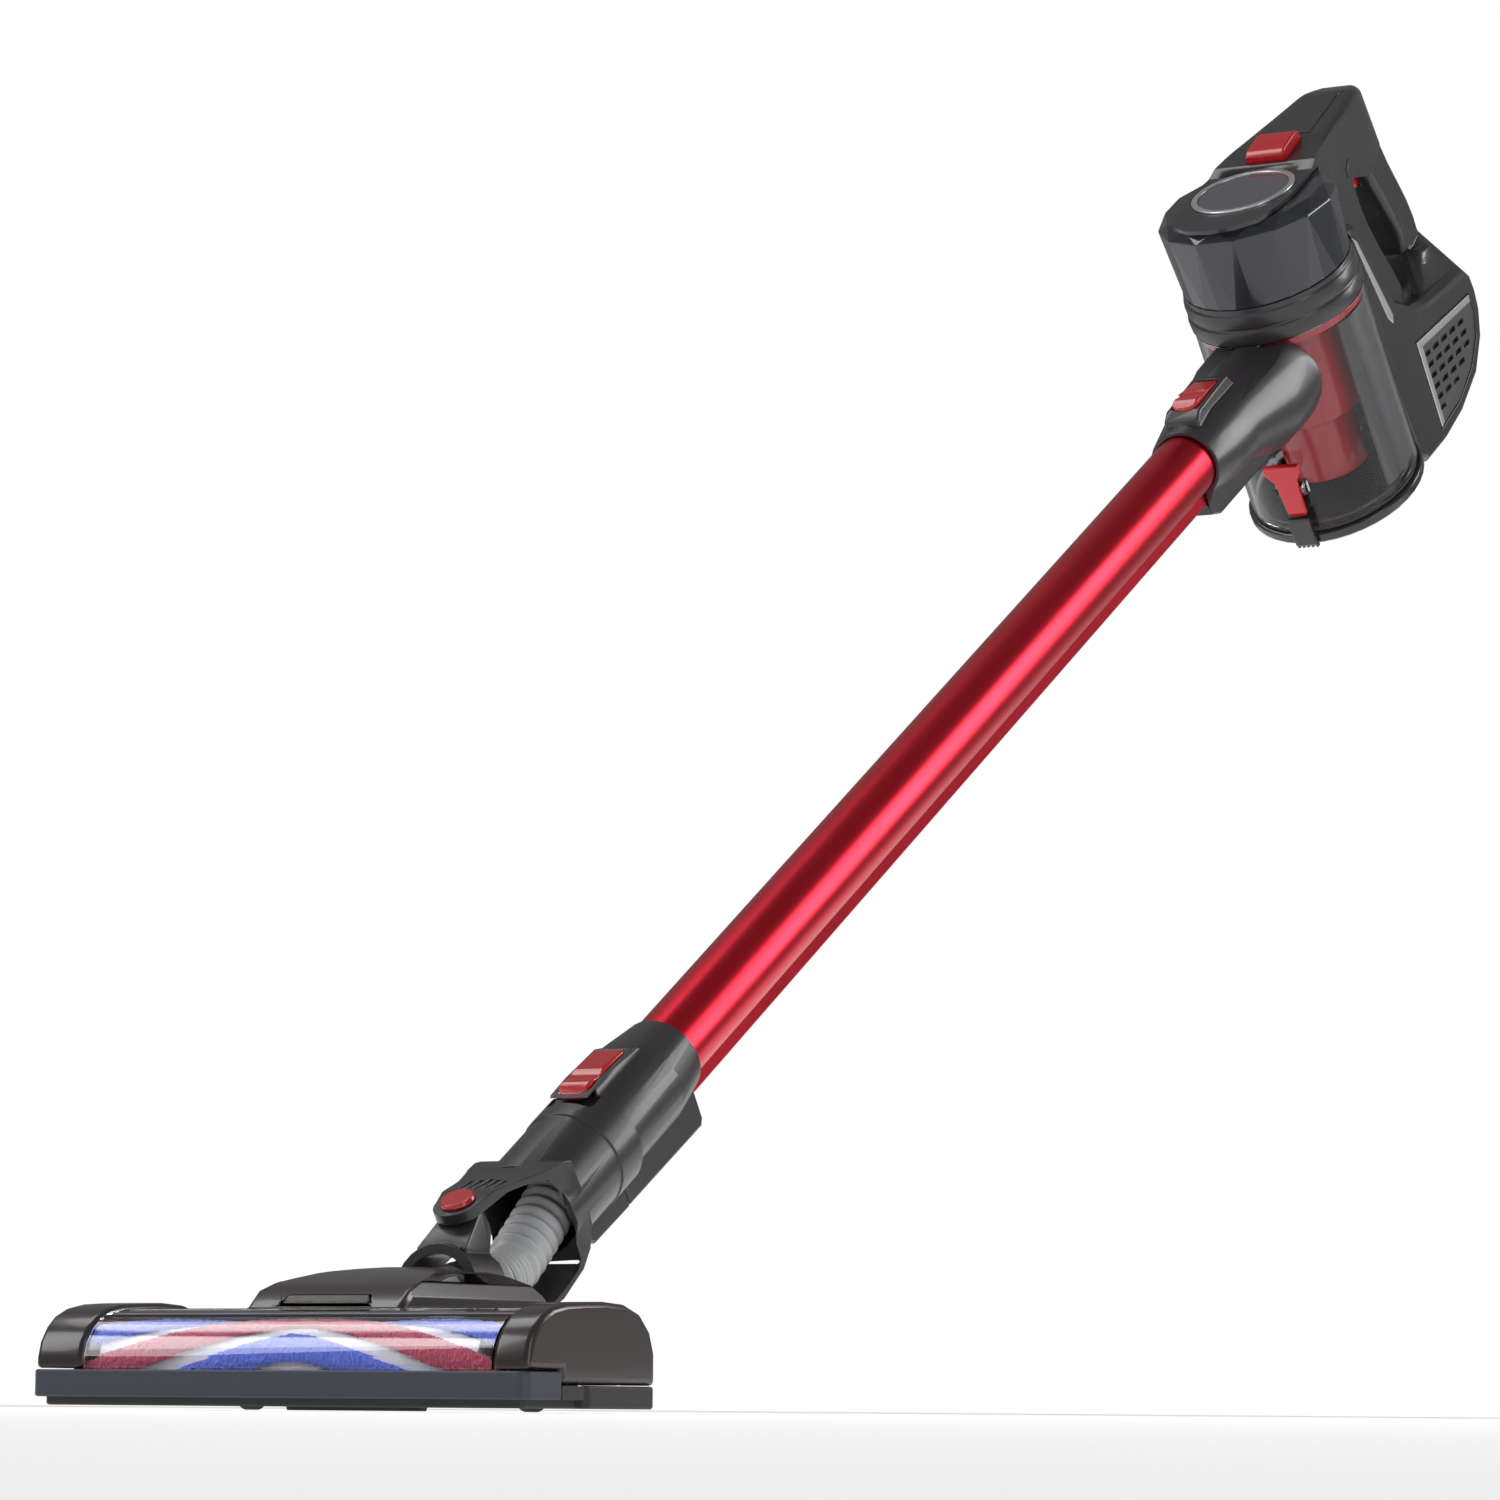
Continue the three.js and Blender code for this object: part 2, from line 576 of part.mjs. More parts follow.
// A saddle over the hose: an arch with trunnions, a post to the upper pin and a bridge to the lower one.
function elbow() {
  const archShape = (r, low) => {
    const points = [[-r, low]];
    for (let i = 0; i <= 14; i++) {
      const a = rad(180 - (180 * i) / 14);
      points.push([r * Math.cos(a), ARCH_Z + r * Math.sin(a)]);
    }
    points.push([r, low]);
    return points.reverse();
  };
  const tunnel = (points, y0, y1) => plate(points, -y1, -y0).rotate([90, 0, 0]);
  const rIn = ELBOW_HALF - ELBOW_WALL;
  let arch = tunnel(archShape(ELBOW_HALF, PITCH_Z), ARCH_FRONT, ARCH_REAR);
  const lean = [
    [100, 26], [ARCH_FRONT, PITCH_Z], [ARCH_FRONT + 2, 76], [ARCH_REAR, 76], [ARCH_REAR - 4, 26],
  ];
  arch = arch.intersect(slab(lean.reverse(), -40, 40));
  const feet = alongX(rod(FOOT_R, -ELBOW_HALF, ELBOW_HALF, 28)).translate([0, PITCH_Y, PITCH_Z]);
  let body = headToWand(arch.add(feet));
  const crown = box(-13, 13, ARCH_FRONT + 5, ARCH_REAR - 3, ARCH_Z + 12, ARCH_Z + ELBOW_HALF - 2);
  body = body.add(wasm.Manifold.hull([rod(POST_R, 12, EAR_IN - RUN, 28), headToWand(crown)]));
  const sill = box(-ELBOW_HALF, ELBOW_HALF, -7.5, 7.5, -BRIDGE_OUT, -BRIDGE_IN + 5);
  const heel = alongX(rod(FOOT_R - 1, -ELBOW_HALF, ELBOW_HALF, 20));
  const root = headToWand(heel.translate([0, PITCH_Y + 4, PITCH_Z + 1]));
  body = body.add(wasm.Manifold.hull([root, sill]));
  const wide = tunnel(archShape(rIn, -20), 60, 200);
  const upperWay = headToWand(wide.intersect(box(-60, 60, 60, 200, ARCH_Z - 40, 90)));
  const lowerWay = tunnel(roundRect(-rIn, rIn, -60, 60, 4), -60, 60)
    .intersect(box(-40, 40, -8, 60, -BRIDGE_IN, 8));
  body = body.subtract(upperWay).subtract(lowerWay);
  body = body.add(box(-ELBOW_HALF, ELBOW_HALF, -7.5, 7.5, -BRIDGE_OUT, -BRIDGE_IN));
  const [py, pz] = pitchAt();
  for (const [x0, x1] of [[-32.5, -ELBOW_HALF + 1], [ELBOW_HALF - 1, 32.5]]) {
    body = body.add(alongX(rod(TRUNNION_R, x0, x1, 24)).translate([0, py, pz]));
  }
  const bores = rod(4.6, 9, 60, 20).add(rod(4.6, -60, -BRIDGE_IN + 1, 20));
  return body.subtract(bores);
}

function neckProfile() {
  const r = NECK_R;
  const sleeve = rod(r, 44, 89, 44).add(rod(r + 0.7, 88, NECK_END, 32));
  return alongY(sleeve).translate([0, 0, -NECK_DROP]);
}

function swivelNeck() {
  let body = neckProfile();
  const low = -LOW_EAR;
  const lower = [
    [56, 18], [56, -14], [50, -24], [42, -30], [28, low - 2.6], [8, low - 4], [-14, low - 4],
  ];
  const upper = [[-14, EAR_OUT], [9, EAR_OUT], [22, 26.8], [38, 22.6], [50, 20.6]];
  const side = slab([...upper, ...lower].reverse(), -27.5, 27.5, 4, 3);
  const plan = [];
  for (let i = 0; i <= 12; i++) {
    const a = rad(180 + (180 * i) / 12);
    plan.push([EAR_R * Math.cos(a), EAR_R * Math.sin(a)]);
  }
  plan.push(
    [EAR_R + 2.6, 12], [16.4, 26], [22, 42], [24.6, 58], [-24.6, 58], [-22, 42], [-16.4, 26],
    [-EAR_R - 2.6, 12],
  );
  body = body.add(side.intersect(plate(plan, -60, 40)));
  const inside = [
    [-30, EAR_IN], [16, EAR_IN], [40, 18.6], [52, 6], [52, -14], [45, -28], [25, low], [-30, low],
  ];
  body = body.subtract(slab(inside.reverse(), -22, 22, 4, 2));
  body = body.subtract(slab(oval(4, -8, 41, 24, 32), -60, 60));
  const bore = alongY(rod(NECK_R - NECK_WALL, 40, NECK_END + 1, 40)).translate([0, 0, -NECK_DROP]);
  body = body.subtract(bore);
  for (let i = -2; i <= 2; i++) {
    const x = i * 4.4;
    body = body.subtract(box(x - 1.1, x + 1.1, 13 + Math.abs(i), 29 - Math.abs(i) * 1.5, 15, 40));
  }
  const fin = [[64, -26], [74, -COLLAR_RIDGE + 2], [NECK_END, -COLLAR_RIDGE + 1], [NECK_END, -24]];
  const ridge = slab(fin.reverse(), -9, 9, 1.5);
  body = body.add(ridge.subtract(bore));
  const spigot = alongY(rod(SPIGOT_R, 100, COLLAR_START + 22, 32));
  const flange = alongY(rod(NECK_R - 1, 101, NECK_END - 0.4, 32)).translate([0, 0, -NECK_DROP]);
  body = body.add(spigot).add(flange).subtract(alongY(rod(SPIGOT_R - 2.2, 90, 200, 32)));
  const pinHole = rod(4.6, -60, 60, 20).add(rod(7.2, -60, low - 4, 24));
  body = body.subtract(plate(roundRect(-12, 12, 98, 130, 2), 19, 40));
  return body.subtract(pinHole);
}

function pinTop() {
  const head = rod(PIN_CAP_R, EAR_OUT + GAP, EAR_OUT + 2.4, 32, PIN_CAP_R - 0.8);
  return rod(4.2, 9, EAR_OUT + 0.4, 20).add(head);
}

function pinBottom() {
  const z = -LOW_EAR - 4;
  return rod(4.2, z - 0.4, -BRIDGE_IN - 1, 20).add(rod(6.5, z - 1.9, z - GAP, 24));
}

// The ribbed hose runs from the head's throat through the elbow into the neck.
function hose() {
  const path = new THREE.CatmullRomCurve3([
    new THREE.Vector3(0, -44, 5),
    new THREE.Vector3(0, -28, 0.4),
    new THREE.Vector3(0, -9.4, -7),
    new THREE.Vector3(0, 5, -13.2),
    new THREE.Vector3(0, 20, -15.6),
    new THREE.Vector3(0, 36, -13.6),
    new THREE.Vector3(0, 54, -10.4),
    new THREE.Vector3(0, 68, -8),
  ]);
  const sides = 16;
  const tube = (radius, extra, steps) => {
    const rings = [];
    for (let i = 0; i <= steps; i++) {
      const u = i / steps;
      const p = path.getPointAt(u);
      const d = path.getTangentAt(u);
      p.addScaledVector(d, i === 0 ? -extra : i === steps ? extra : 0);
      const r = radius(i);
      const ring = [];
      for (let k = 0; k < sides; k++) {
        const a = (2 * Math.PI * k) / sides;
        ring.push([r * Math.cos(a), p.y - r * Math.sin(a) * d.z, p.z + r * Math.sin(a) * d.y]);
      }
      rings.push(ring);
    }
    return skin(rings);
  };
  const outer = tube((i) => (i % 2 ? HOSE_R : HOSE_R - 1.8), 0, HOSE_RIBS * 2);
  return outer.subtract(tube(() => HOSE_R - 1.8 - HOSE_WALL, 2, HOSE_RIBS));
}

add(wandFrame, "elbow", elbow(), BLACK);
add(wandFrame, "swivel_neck", swivelNeck(), BLACK);
add(wandFrame, "swivel_pin_top", pinTop(), RED);
add(wandFrame, "swivel_pin_bottom", pinBottom(), SOOT);
add(wandFrame, "neck_hose", hose(), GREY);

// ---- Wand ----
const ridgeSlab = (y0, y1, halfWidth, depth, top) =>
  slab([[y0, top], [y0, -depth], [y1, -depth], [y1, top]], -halfWidth, halfWidth, 1.2);

function wandTube() {
  const y0 = COLLAR_START + 24;
  const y1 = DUCT_START + SOCKET_DEPTH - 2;
  let tube = alongY(rod(WAND_R, y0, y1, 36));
  tube = tube.add(ridgeSlab(y0, y1, RIDGE_HALF, WAND_RIDGE, -10));
  tube = tube.subtract(alongY(rod(WAND_R - WAND_WALL, y0 - 1, y1 + 1, 40)));
  const channel = box(-RIDGE_HALF + 1.3, RIDGE_HALF - 1.3, y0 - 1, y1 + 1, -WAND_RIDGE + 1.3, -WAND_R + 3);
  return tube.subtract(channel);
}

function wandCollar() {
  const outer = rod(COLLAR_R, COLLAR_START, COLLAR_START + 46, 32).add(
    rod(COLLAR_R, COLLAR_START + 45.9, COLLAR_END, 44, WAND_R + 2.6),
  );
  let collar = alongY(outer).translate([0, 0, -1]);
  const keel = [
    [COLLAR_START, -12], [COLLAR_START, -COLLAR_RIDGE + 1.5], [COLLAR_END + 2, -COLLAR_RIDGE],
  ];
  keel.push(
    [COLLAR_END + 4.5, -COLLAR_RIDGE + 3], [COLLAR_END + 4.5, -WAND_RIDGE + 2], [COLLAR_END, -12],
  );
  collar = collar.add(slab(keel, -9, 9, 1.5));
  const pad = [
    [101, 23.7], [102, 24.6], [116, 25], [145, 23.6], [150, 21.4], [150, 14],
    [COLLAR_START + 0.1, 14], [COLLAR_START + 0.1, 23.7],
  ];
  collar = collar.add(slab(pad.reverse(), -10, 10, 0));
  const well = roundRect(-8 - RUN, 8 + RUN, 103 - RUN, 144 + RUN, 5);
  collar = collar.subtract(plate(well, 19.4, 40));
  collar = collar.subtract(alongY(rod(WAND_R + GAP, COLLAR_START + 23, 300, 32)));
  collar = collar.subtract(alongY(rod(WAND_R - 2, 90, 300, 32)));
  const keyway = box(-RIDGE_HALF - GAP, RIDGE_HALF + GAP, COLLAR_START + 23, 300, -WAND_RIDGE - GAP, 0);
  return collar.subtract(keyway);
}

// A red rocker with a thumb dimple, sprung in a well.
function rocker(y0, y1, halfWidth, z0, z1) {
  const side = [
    [y0, z0], [y1, z0], [y1, z1 - 2.2], [y1 - 3, z1 - 0.6], [y0 + 12, z1 + 1.4], [y0 + 5, z1 + 1],
    [y0, z1 - 1.6],
  ];
  const key = slab(side, -halfWidth, halfWidth, 1, 2);
  const dip = alongX(rod(14, -halfWidth - 2, halfWidth + 2, 40)).translate([0, y0 + 14, z1 + 13.8]);
  const plan = plate(roundRect(-halfWidth, halfWidth, y0, y1, 4.6), z0 - 1, z1 + 5);
  return key.intersect(plan).subtract(dip);
}

add(wandFrame, "wand_tube", wandTube(), WAND_RED);
add(wandFrame, "wand_collar", wandCollar(), BLACK);
add(wandFrame, "neck_release", rocker(103, 144, 8, 19.4 + KEY_TRAVEL, 25.8), RED);

// ---- Intake duct on the dust cup ----
const cupToWand = (solid) =>
  solid
    .rotate([CUP_TILT - WAND_PITCH, 0, 0])
    .translate([0, ...wandOf(CUP_Y, CUP_Z)]);
function wandOf(y, z) {
  const dy = y - SWIVEL_Y;
  const dz = z - SWIVEL_Z;
  const c = Math.cos(rad(WAND_PITCH));
  const q = Math.sin(rad(WAND_PITCH));
  return [dy * c + dz * q, dz * c - dy * q];
}

// Turns a solid from the cup's frame into the hand unit's, and back.
const handOf = (solid) => solid.rotate([CUP_TILT - HAND_TILT, 0, 0]);
const cupOf = (solid) => solid.rotate([HAND_TILT - CUP_TILT, 0, 0]);

const cupOuter = (grow, v0, v1, segments = 40) => {
  const at = (v) => CUP_LOW_R + ((CUP_TOP_R - CUP_LOW_R) * v) / CUP_TOP + grow;
  return rod(at(v0), v0, v1, segments, at(v1));
};

// Beyond the wand socket the air way drops below the cup's top rim.
const ductBore = (from) => alongY(rod(DUCT_BORE, from, 970, 32)).translate([0, 0, -DUCT_DROP]);

function intakeDuct() {
  const y0 = DUCT_START;
  let duct = alongY(rod(DUCT_MOUTH_R, y0, y0 + 26, 32, DUCT_R).add(rod(DUCT_R, y0 + 25.9, 960, 32)));
  const keel = [[y0, -12], [y0, -WAND_RIDGE - 6], [y0 + 10, -DUCT_RIDGE], [960, -DUCT_RIDGE], [960, -12]];
  duct = duct.add(slab(keel, -9.5, 9.5, 2));
  const flare = wasm.Manifold.hull([
    alongY(rod(DUCT_R, 868, 870, 32)),
    alongY(rod(DUCT_R + 8, 905, 960, 32)).translate([0, 0, -2]),
  ]);
  duct = duct.add(flare.subtract(cupToWand(rod(260, CUP_TOP - GAP, 400, 8))));
  const pad = [[y0 + 8, 10], [y0 + 8, 23], [y0 + 14, 27], [y0 + 54, 29], [y0 + 62, 20], [y0 + 62, 10]];
  duct = duct.add(slab(pad.reverse(), -10.5, 10.5, 1.5));
  const well = roundRect(-7.5 - RUN, 7.5 + RUN, y0 + 14 - RUN, y0 + 50 + RUN, 5);
  duct = duct.subtract(plate(well, 22.4, 50));
  duct = duct.subtract(alongY(rod(WAND_R + GAP, 0, y0 + SOCKET_DEPTH, 32)));
  duct = duct.subtract(box(-RIDGE_HALF - GAP, RIDGE_HALF + GAP, 0, y0 + SOCKET_DEPTH, -WAND_RIDGE - GAP, 0));
  duct = duct.subtract(ductBore(700));
  const roof = cupToWand(rod(COLLAR_BAND_R + 1, CUP_TOP - GAP, 260, 40));
  return duct.subtract(roof).subtract(cupToWand(cupOuter(GAP, -20, CUP_TOP + 10)));
}

add(wandFrame, "intake_duct", intakeDuct(), BLACK);
add(wandFrame, "intake_release", rocker(DUCT_START + 14, DUCT_START + 50, 7.5, 22.4 + KEY_TRAVEL, 29.6), RED);

// ---- Dust cup ----
function dustCup() {
  let cup = cupOuter(0, 0, CUP_TOP).subtract(cupOuter(-CUP_WALL, -1, CUP_TOP + 1));
  cup = handOf(cup).intersect(rod(90, CUP_BOTTOM, 160, 8));
  for (const s of [-1, 1]) {
    const cheek = [
      [47.6, 13.6], [47.6, -1], [HINGE_W - 2.6, HINGE_V - 2.6], [HINGE_W + 2.6, HINGE_V - 2.6],
    ];
    cheek.push([HINGE_W + 2.6, HINGE_V + 3], [54, 8], [52, 13.6]);
    cup = cup.add(slab(cheek, s * HINGE_X - 1.7, s * HINGE_X + 1.7));
    const flank = [
      [LATCH_W - 1.6, PIVOT_V - 2.5], [LATCH_W + 8, PIVOT_V - 5], [LATCH_W + 8, PIVOT_V + 5],
      [LATCH_W - 1.6, PIVOT_V + 2.5],
    ];
    const ear = slab(flank.reverse(), s * 8.2 - 1.1, s * 8.2 + 1.1);
    cup = cup.add(ear.subtract(handOf(cupOuter(-1, 0, CUP_TOP))));
  }
  cup = cup.add(alongX(rod(1.6, -11, 11, 14)).translate([0, HINGE_W, HINGE_V]));
  cup = cup.add(alongX(rod(1.1, -9, 9, 12)).translate([0, LATCH_W, PIVOT_V]));
  return cupOf(cup).subtract(wandToCup(ductBore(700).intersect(box(-60, 60, 800, 925, -60, 60))));
}

const wandToCup = (solid) =>
  solid.translate([0, ...wandOf(CUP_Y, CUP_Z).map((v) => -v)]).rotate([WAND_PITCH - CUP_TILT, 0, 0]);

function cupLid() {
  const rim = [[0, 0], [LID_R - 1.5, 0], [LID_R, 1.5], [LID_R, LID_T - 1.2]];
  rim.push([LID_R - 1, LID_T - 0.4], [0, LID_T - 0.4]);
  let lid = turned(rim, 40);
  lid = lid.add(rod(CUP_LOW_R - CUP_WALL - 2.6, LID_T - 0.5, LID_T + 4, 36));
  lid = lid.subtract(rod(CUP_LOW_R - CUP_WALL - 5, 3, LID_T + 5, 36));
  const arm = [
    [46, 0.8], [53, 0.8], [HINGE_W - 2.6, HINGE_V - 1.8], [HINGE_W + 2.6, HINGE_V + 1.6], [55, 5],
    [46, 5],
  ];
  lid = lid.add(slab(arm, -7.8, 7.8));
  lid = lid.add(alongX(rod(3, -7.8, 7.8, 20)).translate([0, HINGE_W, HINGE_V]));
  for (const s of [-1, 1]) {
    lid = lid.subtract(box(s * HINGE_X - 2.2, s * HINGE_X + 2.2, CUP_LOW_R - 3, 70, -30, 30));
  }
  return lid.subtract(alongX(rod(1.6 + 0.4, -30, 30, 16)).translate([0, HINGE_W, HINGE_V]));
}

function lidSeal() {
  return ringOf(CUP_LOW_R - CUP_WALL - 2.2, CUP_LOW_R - 0.6, LID_T - 0.1, CUP_BOTTOM - 0.3, 36)
    .subtract(box(-13, 13, CUP_LOW_R - 4, 70, 0, 30));
}

function lidLatch() {
  const face = [
    [-11, 56], [-11, 50.5], [-6.6, 44.5], [-5.6, 23], [5.6, 23], [6.6, 44.5], [11, 50.5], [11, 56],
  ];
  const bar = plate(face, -LATCH_W + 0.1, -LATCH_W + 3.8, 0.9).rotate([90, 0, 0]);
  const hook = box(-5, 5, LATCH_W - 3, LATCH_W - 0.1, 21.3, 23.4);
  const bore = alongX(rod(1.1 + 0.35, -30, 30, 14)).translate([0, LATCH_W, PIVOT_V]);
  const boss = alongX(rod(2.2, -5.6, 5.6, 16)).translate([0, LATCH_W, PIVOT_V]);
  const cup = handOf(cupOuter(GAP, 0, CUP_TOP));
  return bar.add(hook).add(boss).subtract(bore).subtract(cup);
}

function latchClip() {
  const out = -LID_R - 4;
  const side = [
    [-LID_R - 0.3, 1.6], [-LID_R - 0.3, 20.4], [out + 0.6, 20.4], [out, 18], [out, 3],
    [out + 1, 1.6],
  ];
  let clip = slab(side, -6.6, 6.6, 0.6);
  for (let i = -2; i <= 2; i++) {
    clip = clip.add(box(i * 2.8 - 0.8, i * 2.8 + 0.8, out + 1, -LID_R - 0.4, 0.4, 2));
  }
  return clip;
}

function cyclone() {
  const profile = [
    [0, 19], [CYCLONE_LOW_R, 19], [CYCLONE_LOW_R + 1, CYCLONE_STEP - 7],
    [CYCLONE_R - 1, CYCLONE_STEP - 3],
  ];
  profile.push(
    [CYCLONE_R, CYCLONE_STEP + 4], [CYCLONE_R, 116], [CUP_TOP_R - CUP_WALL - 0.6, 118],
    [CUP_TOP_R - CUP_WALL - 0.6, 122.6], [0, 122.6],
  );
  const inner = [
    [0, 21.4], [CYCLONE_LOW_R - 2.4, 21.4], [CYCLONE_LOW_R - 1.4, CYCLONE_STEP - 6],
    [CYCLONE_R - 3, CYCLONE_STEP + 1],
  ];
  inner.push([CYCLONE_R - 2.4, 130], [0, 130]);
  return turned(profile, 48).subtract(turned(inner, 36));
}

function pleatedFilter() {
  const points = [];
  for (let i = 0; i < 40; i++) {
    const a = (2 * Math.PI * i) / 40;
    const r = i % 2 ? CYCLONE_R - 4 : CYCLONE_R - 9;
    points.push([r * Math.cos(a), r * Math.sin(a)]);
  }
  return plate(points, 76, 116).add(rod(CYCLONE_R - 4, 115.9, 119, 40)).subtract(rod(14, 80, 130, 24));
}

function cupLiner() {
  const shell = cupOuter(-CUP_WALL - 0.4, 0, 117).subtract(cupOuter(-CUP_WALL - 2, -1, 118));
  const rear = slab([[LINER_W, 0], [LINER_W, 130], [60, 130], [60, 0]].reverse(), -60, 60);
  return shell.intersect(rear).intersect(cupOf(rod(90, CUP_BOTTOM + 5.4, 160, 8)));
}

// ---- Motor end ----
function cupCollar() {
  const p = [
    [0, CUP_TOP + GAP], [49.2, CUP_TOP + GAP], [50.2, 125], [COLLAR_BAND_R, 129], [50.2, 132.6],
    [49.4, 133.4],
  ];
  p.push(
    [49.4, 134.6], [50, 135.4], [50.2, 138.6], [49.7, 142.6], [48.9, 143.4], [48.9, COLLAR_TOP],
    [0, COLLAR_TOP],
  );
  return turned(p, 40).subtract(rod(FAN_R + 3, 100, 160, 36)).subtract(rod(CUP_TOP_R - 4, 120, 127, 36));
}

// The sloping top plane in the hand unit's frame, and the same plane in the cup's.
const topAt = (w) => TOP_V - Math.tan(rad(TOP_SLOPE)) * w;
const capSlope = rad(TOP_SLOPE - HAND_TILT + CUP_TILT);
const capTopAt = (w) => (TOP_V * Math.cos(rad(TOP_SLOPE))) / Math.cos(capSlope) - Math.tan(capSlope) * w;

function motorCap() {
  const points = [];
  const base = COLLAR_TOP + GAP;
  for (let i = 0; i < 2 * CAP_SIDES; i++) {
    const a = (Math.PI * i) / CAP_SIDES;
    points.push(new THREE.Vector3(48.6 * Math.cos(a), 48.6 * Math.sin(a), base));
  }
  for (let i = 0; i < CAP_SIDES; i++) {
    const a = (2 * Math.PI * i) / CAP_SIDES;
    const b = a + Math.PI / CAP_SIDES;
    const lowW = CAP_R_MID * Math.sin(a);
    points.push(new THREE.Vector3(CAP_R_MID * Math.cos(a), lowW, capTopAt(lowW) - CAP_FACET));
    const highW = CAP_R_TOP * Math.sin(b);
    points.push(new THREE.Vector3(CAP_R_TOP * Math.cos(b), highW, capTopAt(highW) - DECK_T - GAP));
  }
  const cap = toSolid(new ConvexGeometry(points)).subtract(rod(45.5, base - 2, 178, 36));
  return cap.subtract(cupOf(housingBlank(GAP)));
}

function suctionMotor() {
  const profile = [[0, 128], [FAN_R - 3, 128], [FAN_R, 131], [FAN_R, 150], [FAN_R - 8, 158], [0, 158]];
  const can = turned(profile, 40);
  return can.subtract(rod(2.4 + RUN, 140, 170, 14));
}

function impeller() {
  const profile = [[0, 142], [2.4, 142], [2.4, 161], [31, 161], [31, 163], [9, 165], [6, 172], [0, 172]];
  let fan = turned(profile, 40);
  for (let i = 0; i < 8; i++) {
    const blade = box(-0.8, 0.8, 5, 30, 162.5, 169).rotate([0, 0, 45 * i]);
    fan = fan.add(blade);
  }
  return fan;
}

// ---- Handle housing ----
const shellCut = () =>
  handOf(
    cupOuter(0.7, -40, CUP_TOP + 0.5)
      .add(rod(COLLAR_BAND_R + 0.8, CUP_TOP, COLLAR_TOP + GAP, 36))
      .add(rod(CAP_R_MID + 0.7, COLLAR_TOP, 260, 36)),
  ).add(rod(LID_R + 1.2, -60, CUP_BOTTOM + 1, 36));

const blockLine = [
  [36, -9], [46, -18], [75, -24], [104, -26], [137, -22], [158, -10], [168, 4], [171, 16],
  [171, 27],
];

function mainBody() {
  const block = [
    ...blockLine, [165, 35], [140, 43], [110, 52], [90, 62], [74, 78], [66, 100], [60, 140],
    [36, 150],
  ];
  let body = slab(block, -BLOCK_HALF, BLOCK_HALF, 6, 3);
  const neckBox = box(-14, 14, 149, 171, 56, 60);
  const saddle = [[108, 24], [169, 14], [171, 26], [160, 32], [108, 46]];
  const wideBox = slab(saddle, -BLOCK_HALF + 2, BLOCK_HALF - 2, 3, 2);
  body = body.add(wasm.Manifold.hull([neckBox, wideBox]));
  const shoulder = [
    [90, 40], [120, 20], [160, 20], [166, 40], [164, 56], [150, 60], [141, 54.8], [130, 52.6],
  ];
  shoulder.push([120, 55], [113, 61], [108, 70], [96, 76]);
  body = body.add(slab(shoulder.reverse(), -24, 24, 6, 3));
  const column = [
    [36, 40], [104, 40], [110, 66], [106, 82], [101, 100], [98, 116], [97, 128], [98, 140],
    [104, 150], [104, 160], [36, 172],
  ];
  body = body.add(slab(column, -27, 27, 7, 3));
  const grip = [
    [146, 44], [168, 44], [173, 58], [174.6, 70], [173.6, 84], [170.6, 99], [167.6, 113],
    [166, 126],
  ];
  grip.push(
    [166, 141], [134, 141], [136.4, 128], [139, 113], [142.6, 99], [146, 84],
    [148, 72], [147, 60],
  );
  body = body.add(slab(grip, -GRIP_HALF, GRIP_HALF, 7, 4));
  body = body.subtract(shellCut()).subtract(housingBlank(GAP));
  body = body.subtract(box(-34, 34, 66, 139, -60, 22));
  const core = [
    [72, 12], [74, 60], [77, 100], [81, 146], [94, 146], [93, 128], [96.6, 100], [101.6, 82],
    [105, 66], [101, 44], [148, 36], [158, 12],
  ];
  body = body.subtract(slab(core, -21, 21));
  const gripCore = [
    [150, 20], [153, 60], [155, 74], [153, 86], [149, 101], [146, 113], [143, 127], [141, 150],
    [160, 150], [159, 126], [161, 113], [164, 100], [167, 85],
  ];
  gripCore.push([168, 72], [166, 60], [162, 40], [158, 20]);
  body = body.subtract(slab(gripCore, -9, 9));
  const slot = box(-6 - RUN, 6 + RUN, 128, TRIGGER_REAR + TRIGGER_TRAVEL + RUN, 115 - RUN, 137 + RUN);
  body = body.subtract(slot);
  body = body.subtract(alongY(rod(5 + GAP, 158, 190, 24)).translate([0, 0, 18]));
  for (const s of [-1, 1]) {
    body = body.subtract(sidePanel(s, 2.2, GAP));
    body = body.subtract(trimStrip(s, GAP));
  }
  return body.subtract(box(-30, 30, LID_R - 7, HINGE_W + 4, -60, CUP_BOTTOM + 8));
}

// The grille panel is let into each side of the block.
const grilleLine = (grow) => {
  const base = [[77, 44], [158, 21], [157, 9], [149, -3.5], [131, -12.5], [104, -16.4], [71, -13]];
  const cx = 108;
  const cz = 10;
  return base.map(([y, z]) => [y + Math.sign(y - cx) * grow, z + Math.sign(z - cz) * grow]).reverse();
};

function sidePanel(side, depth, grow) {
  const x0 = side < 0 ? -BLOCK_HALF - 1 : BLOCK_HALF - depth;
  const x1 = side < 0 ? -BLOCK_HALF + depth : BLOCK_HALF + 1;
  return slab(grilleLine(grow), x0, x1);
}

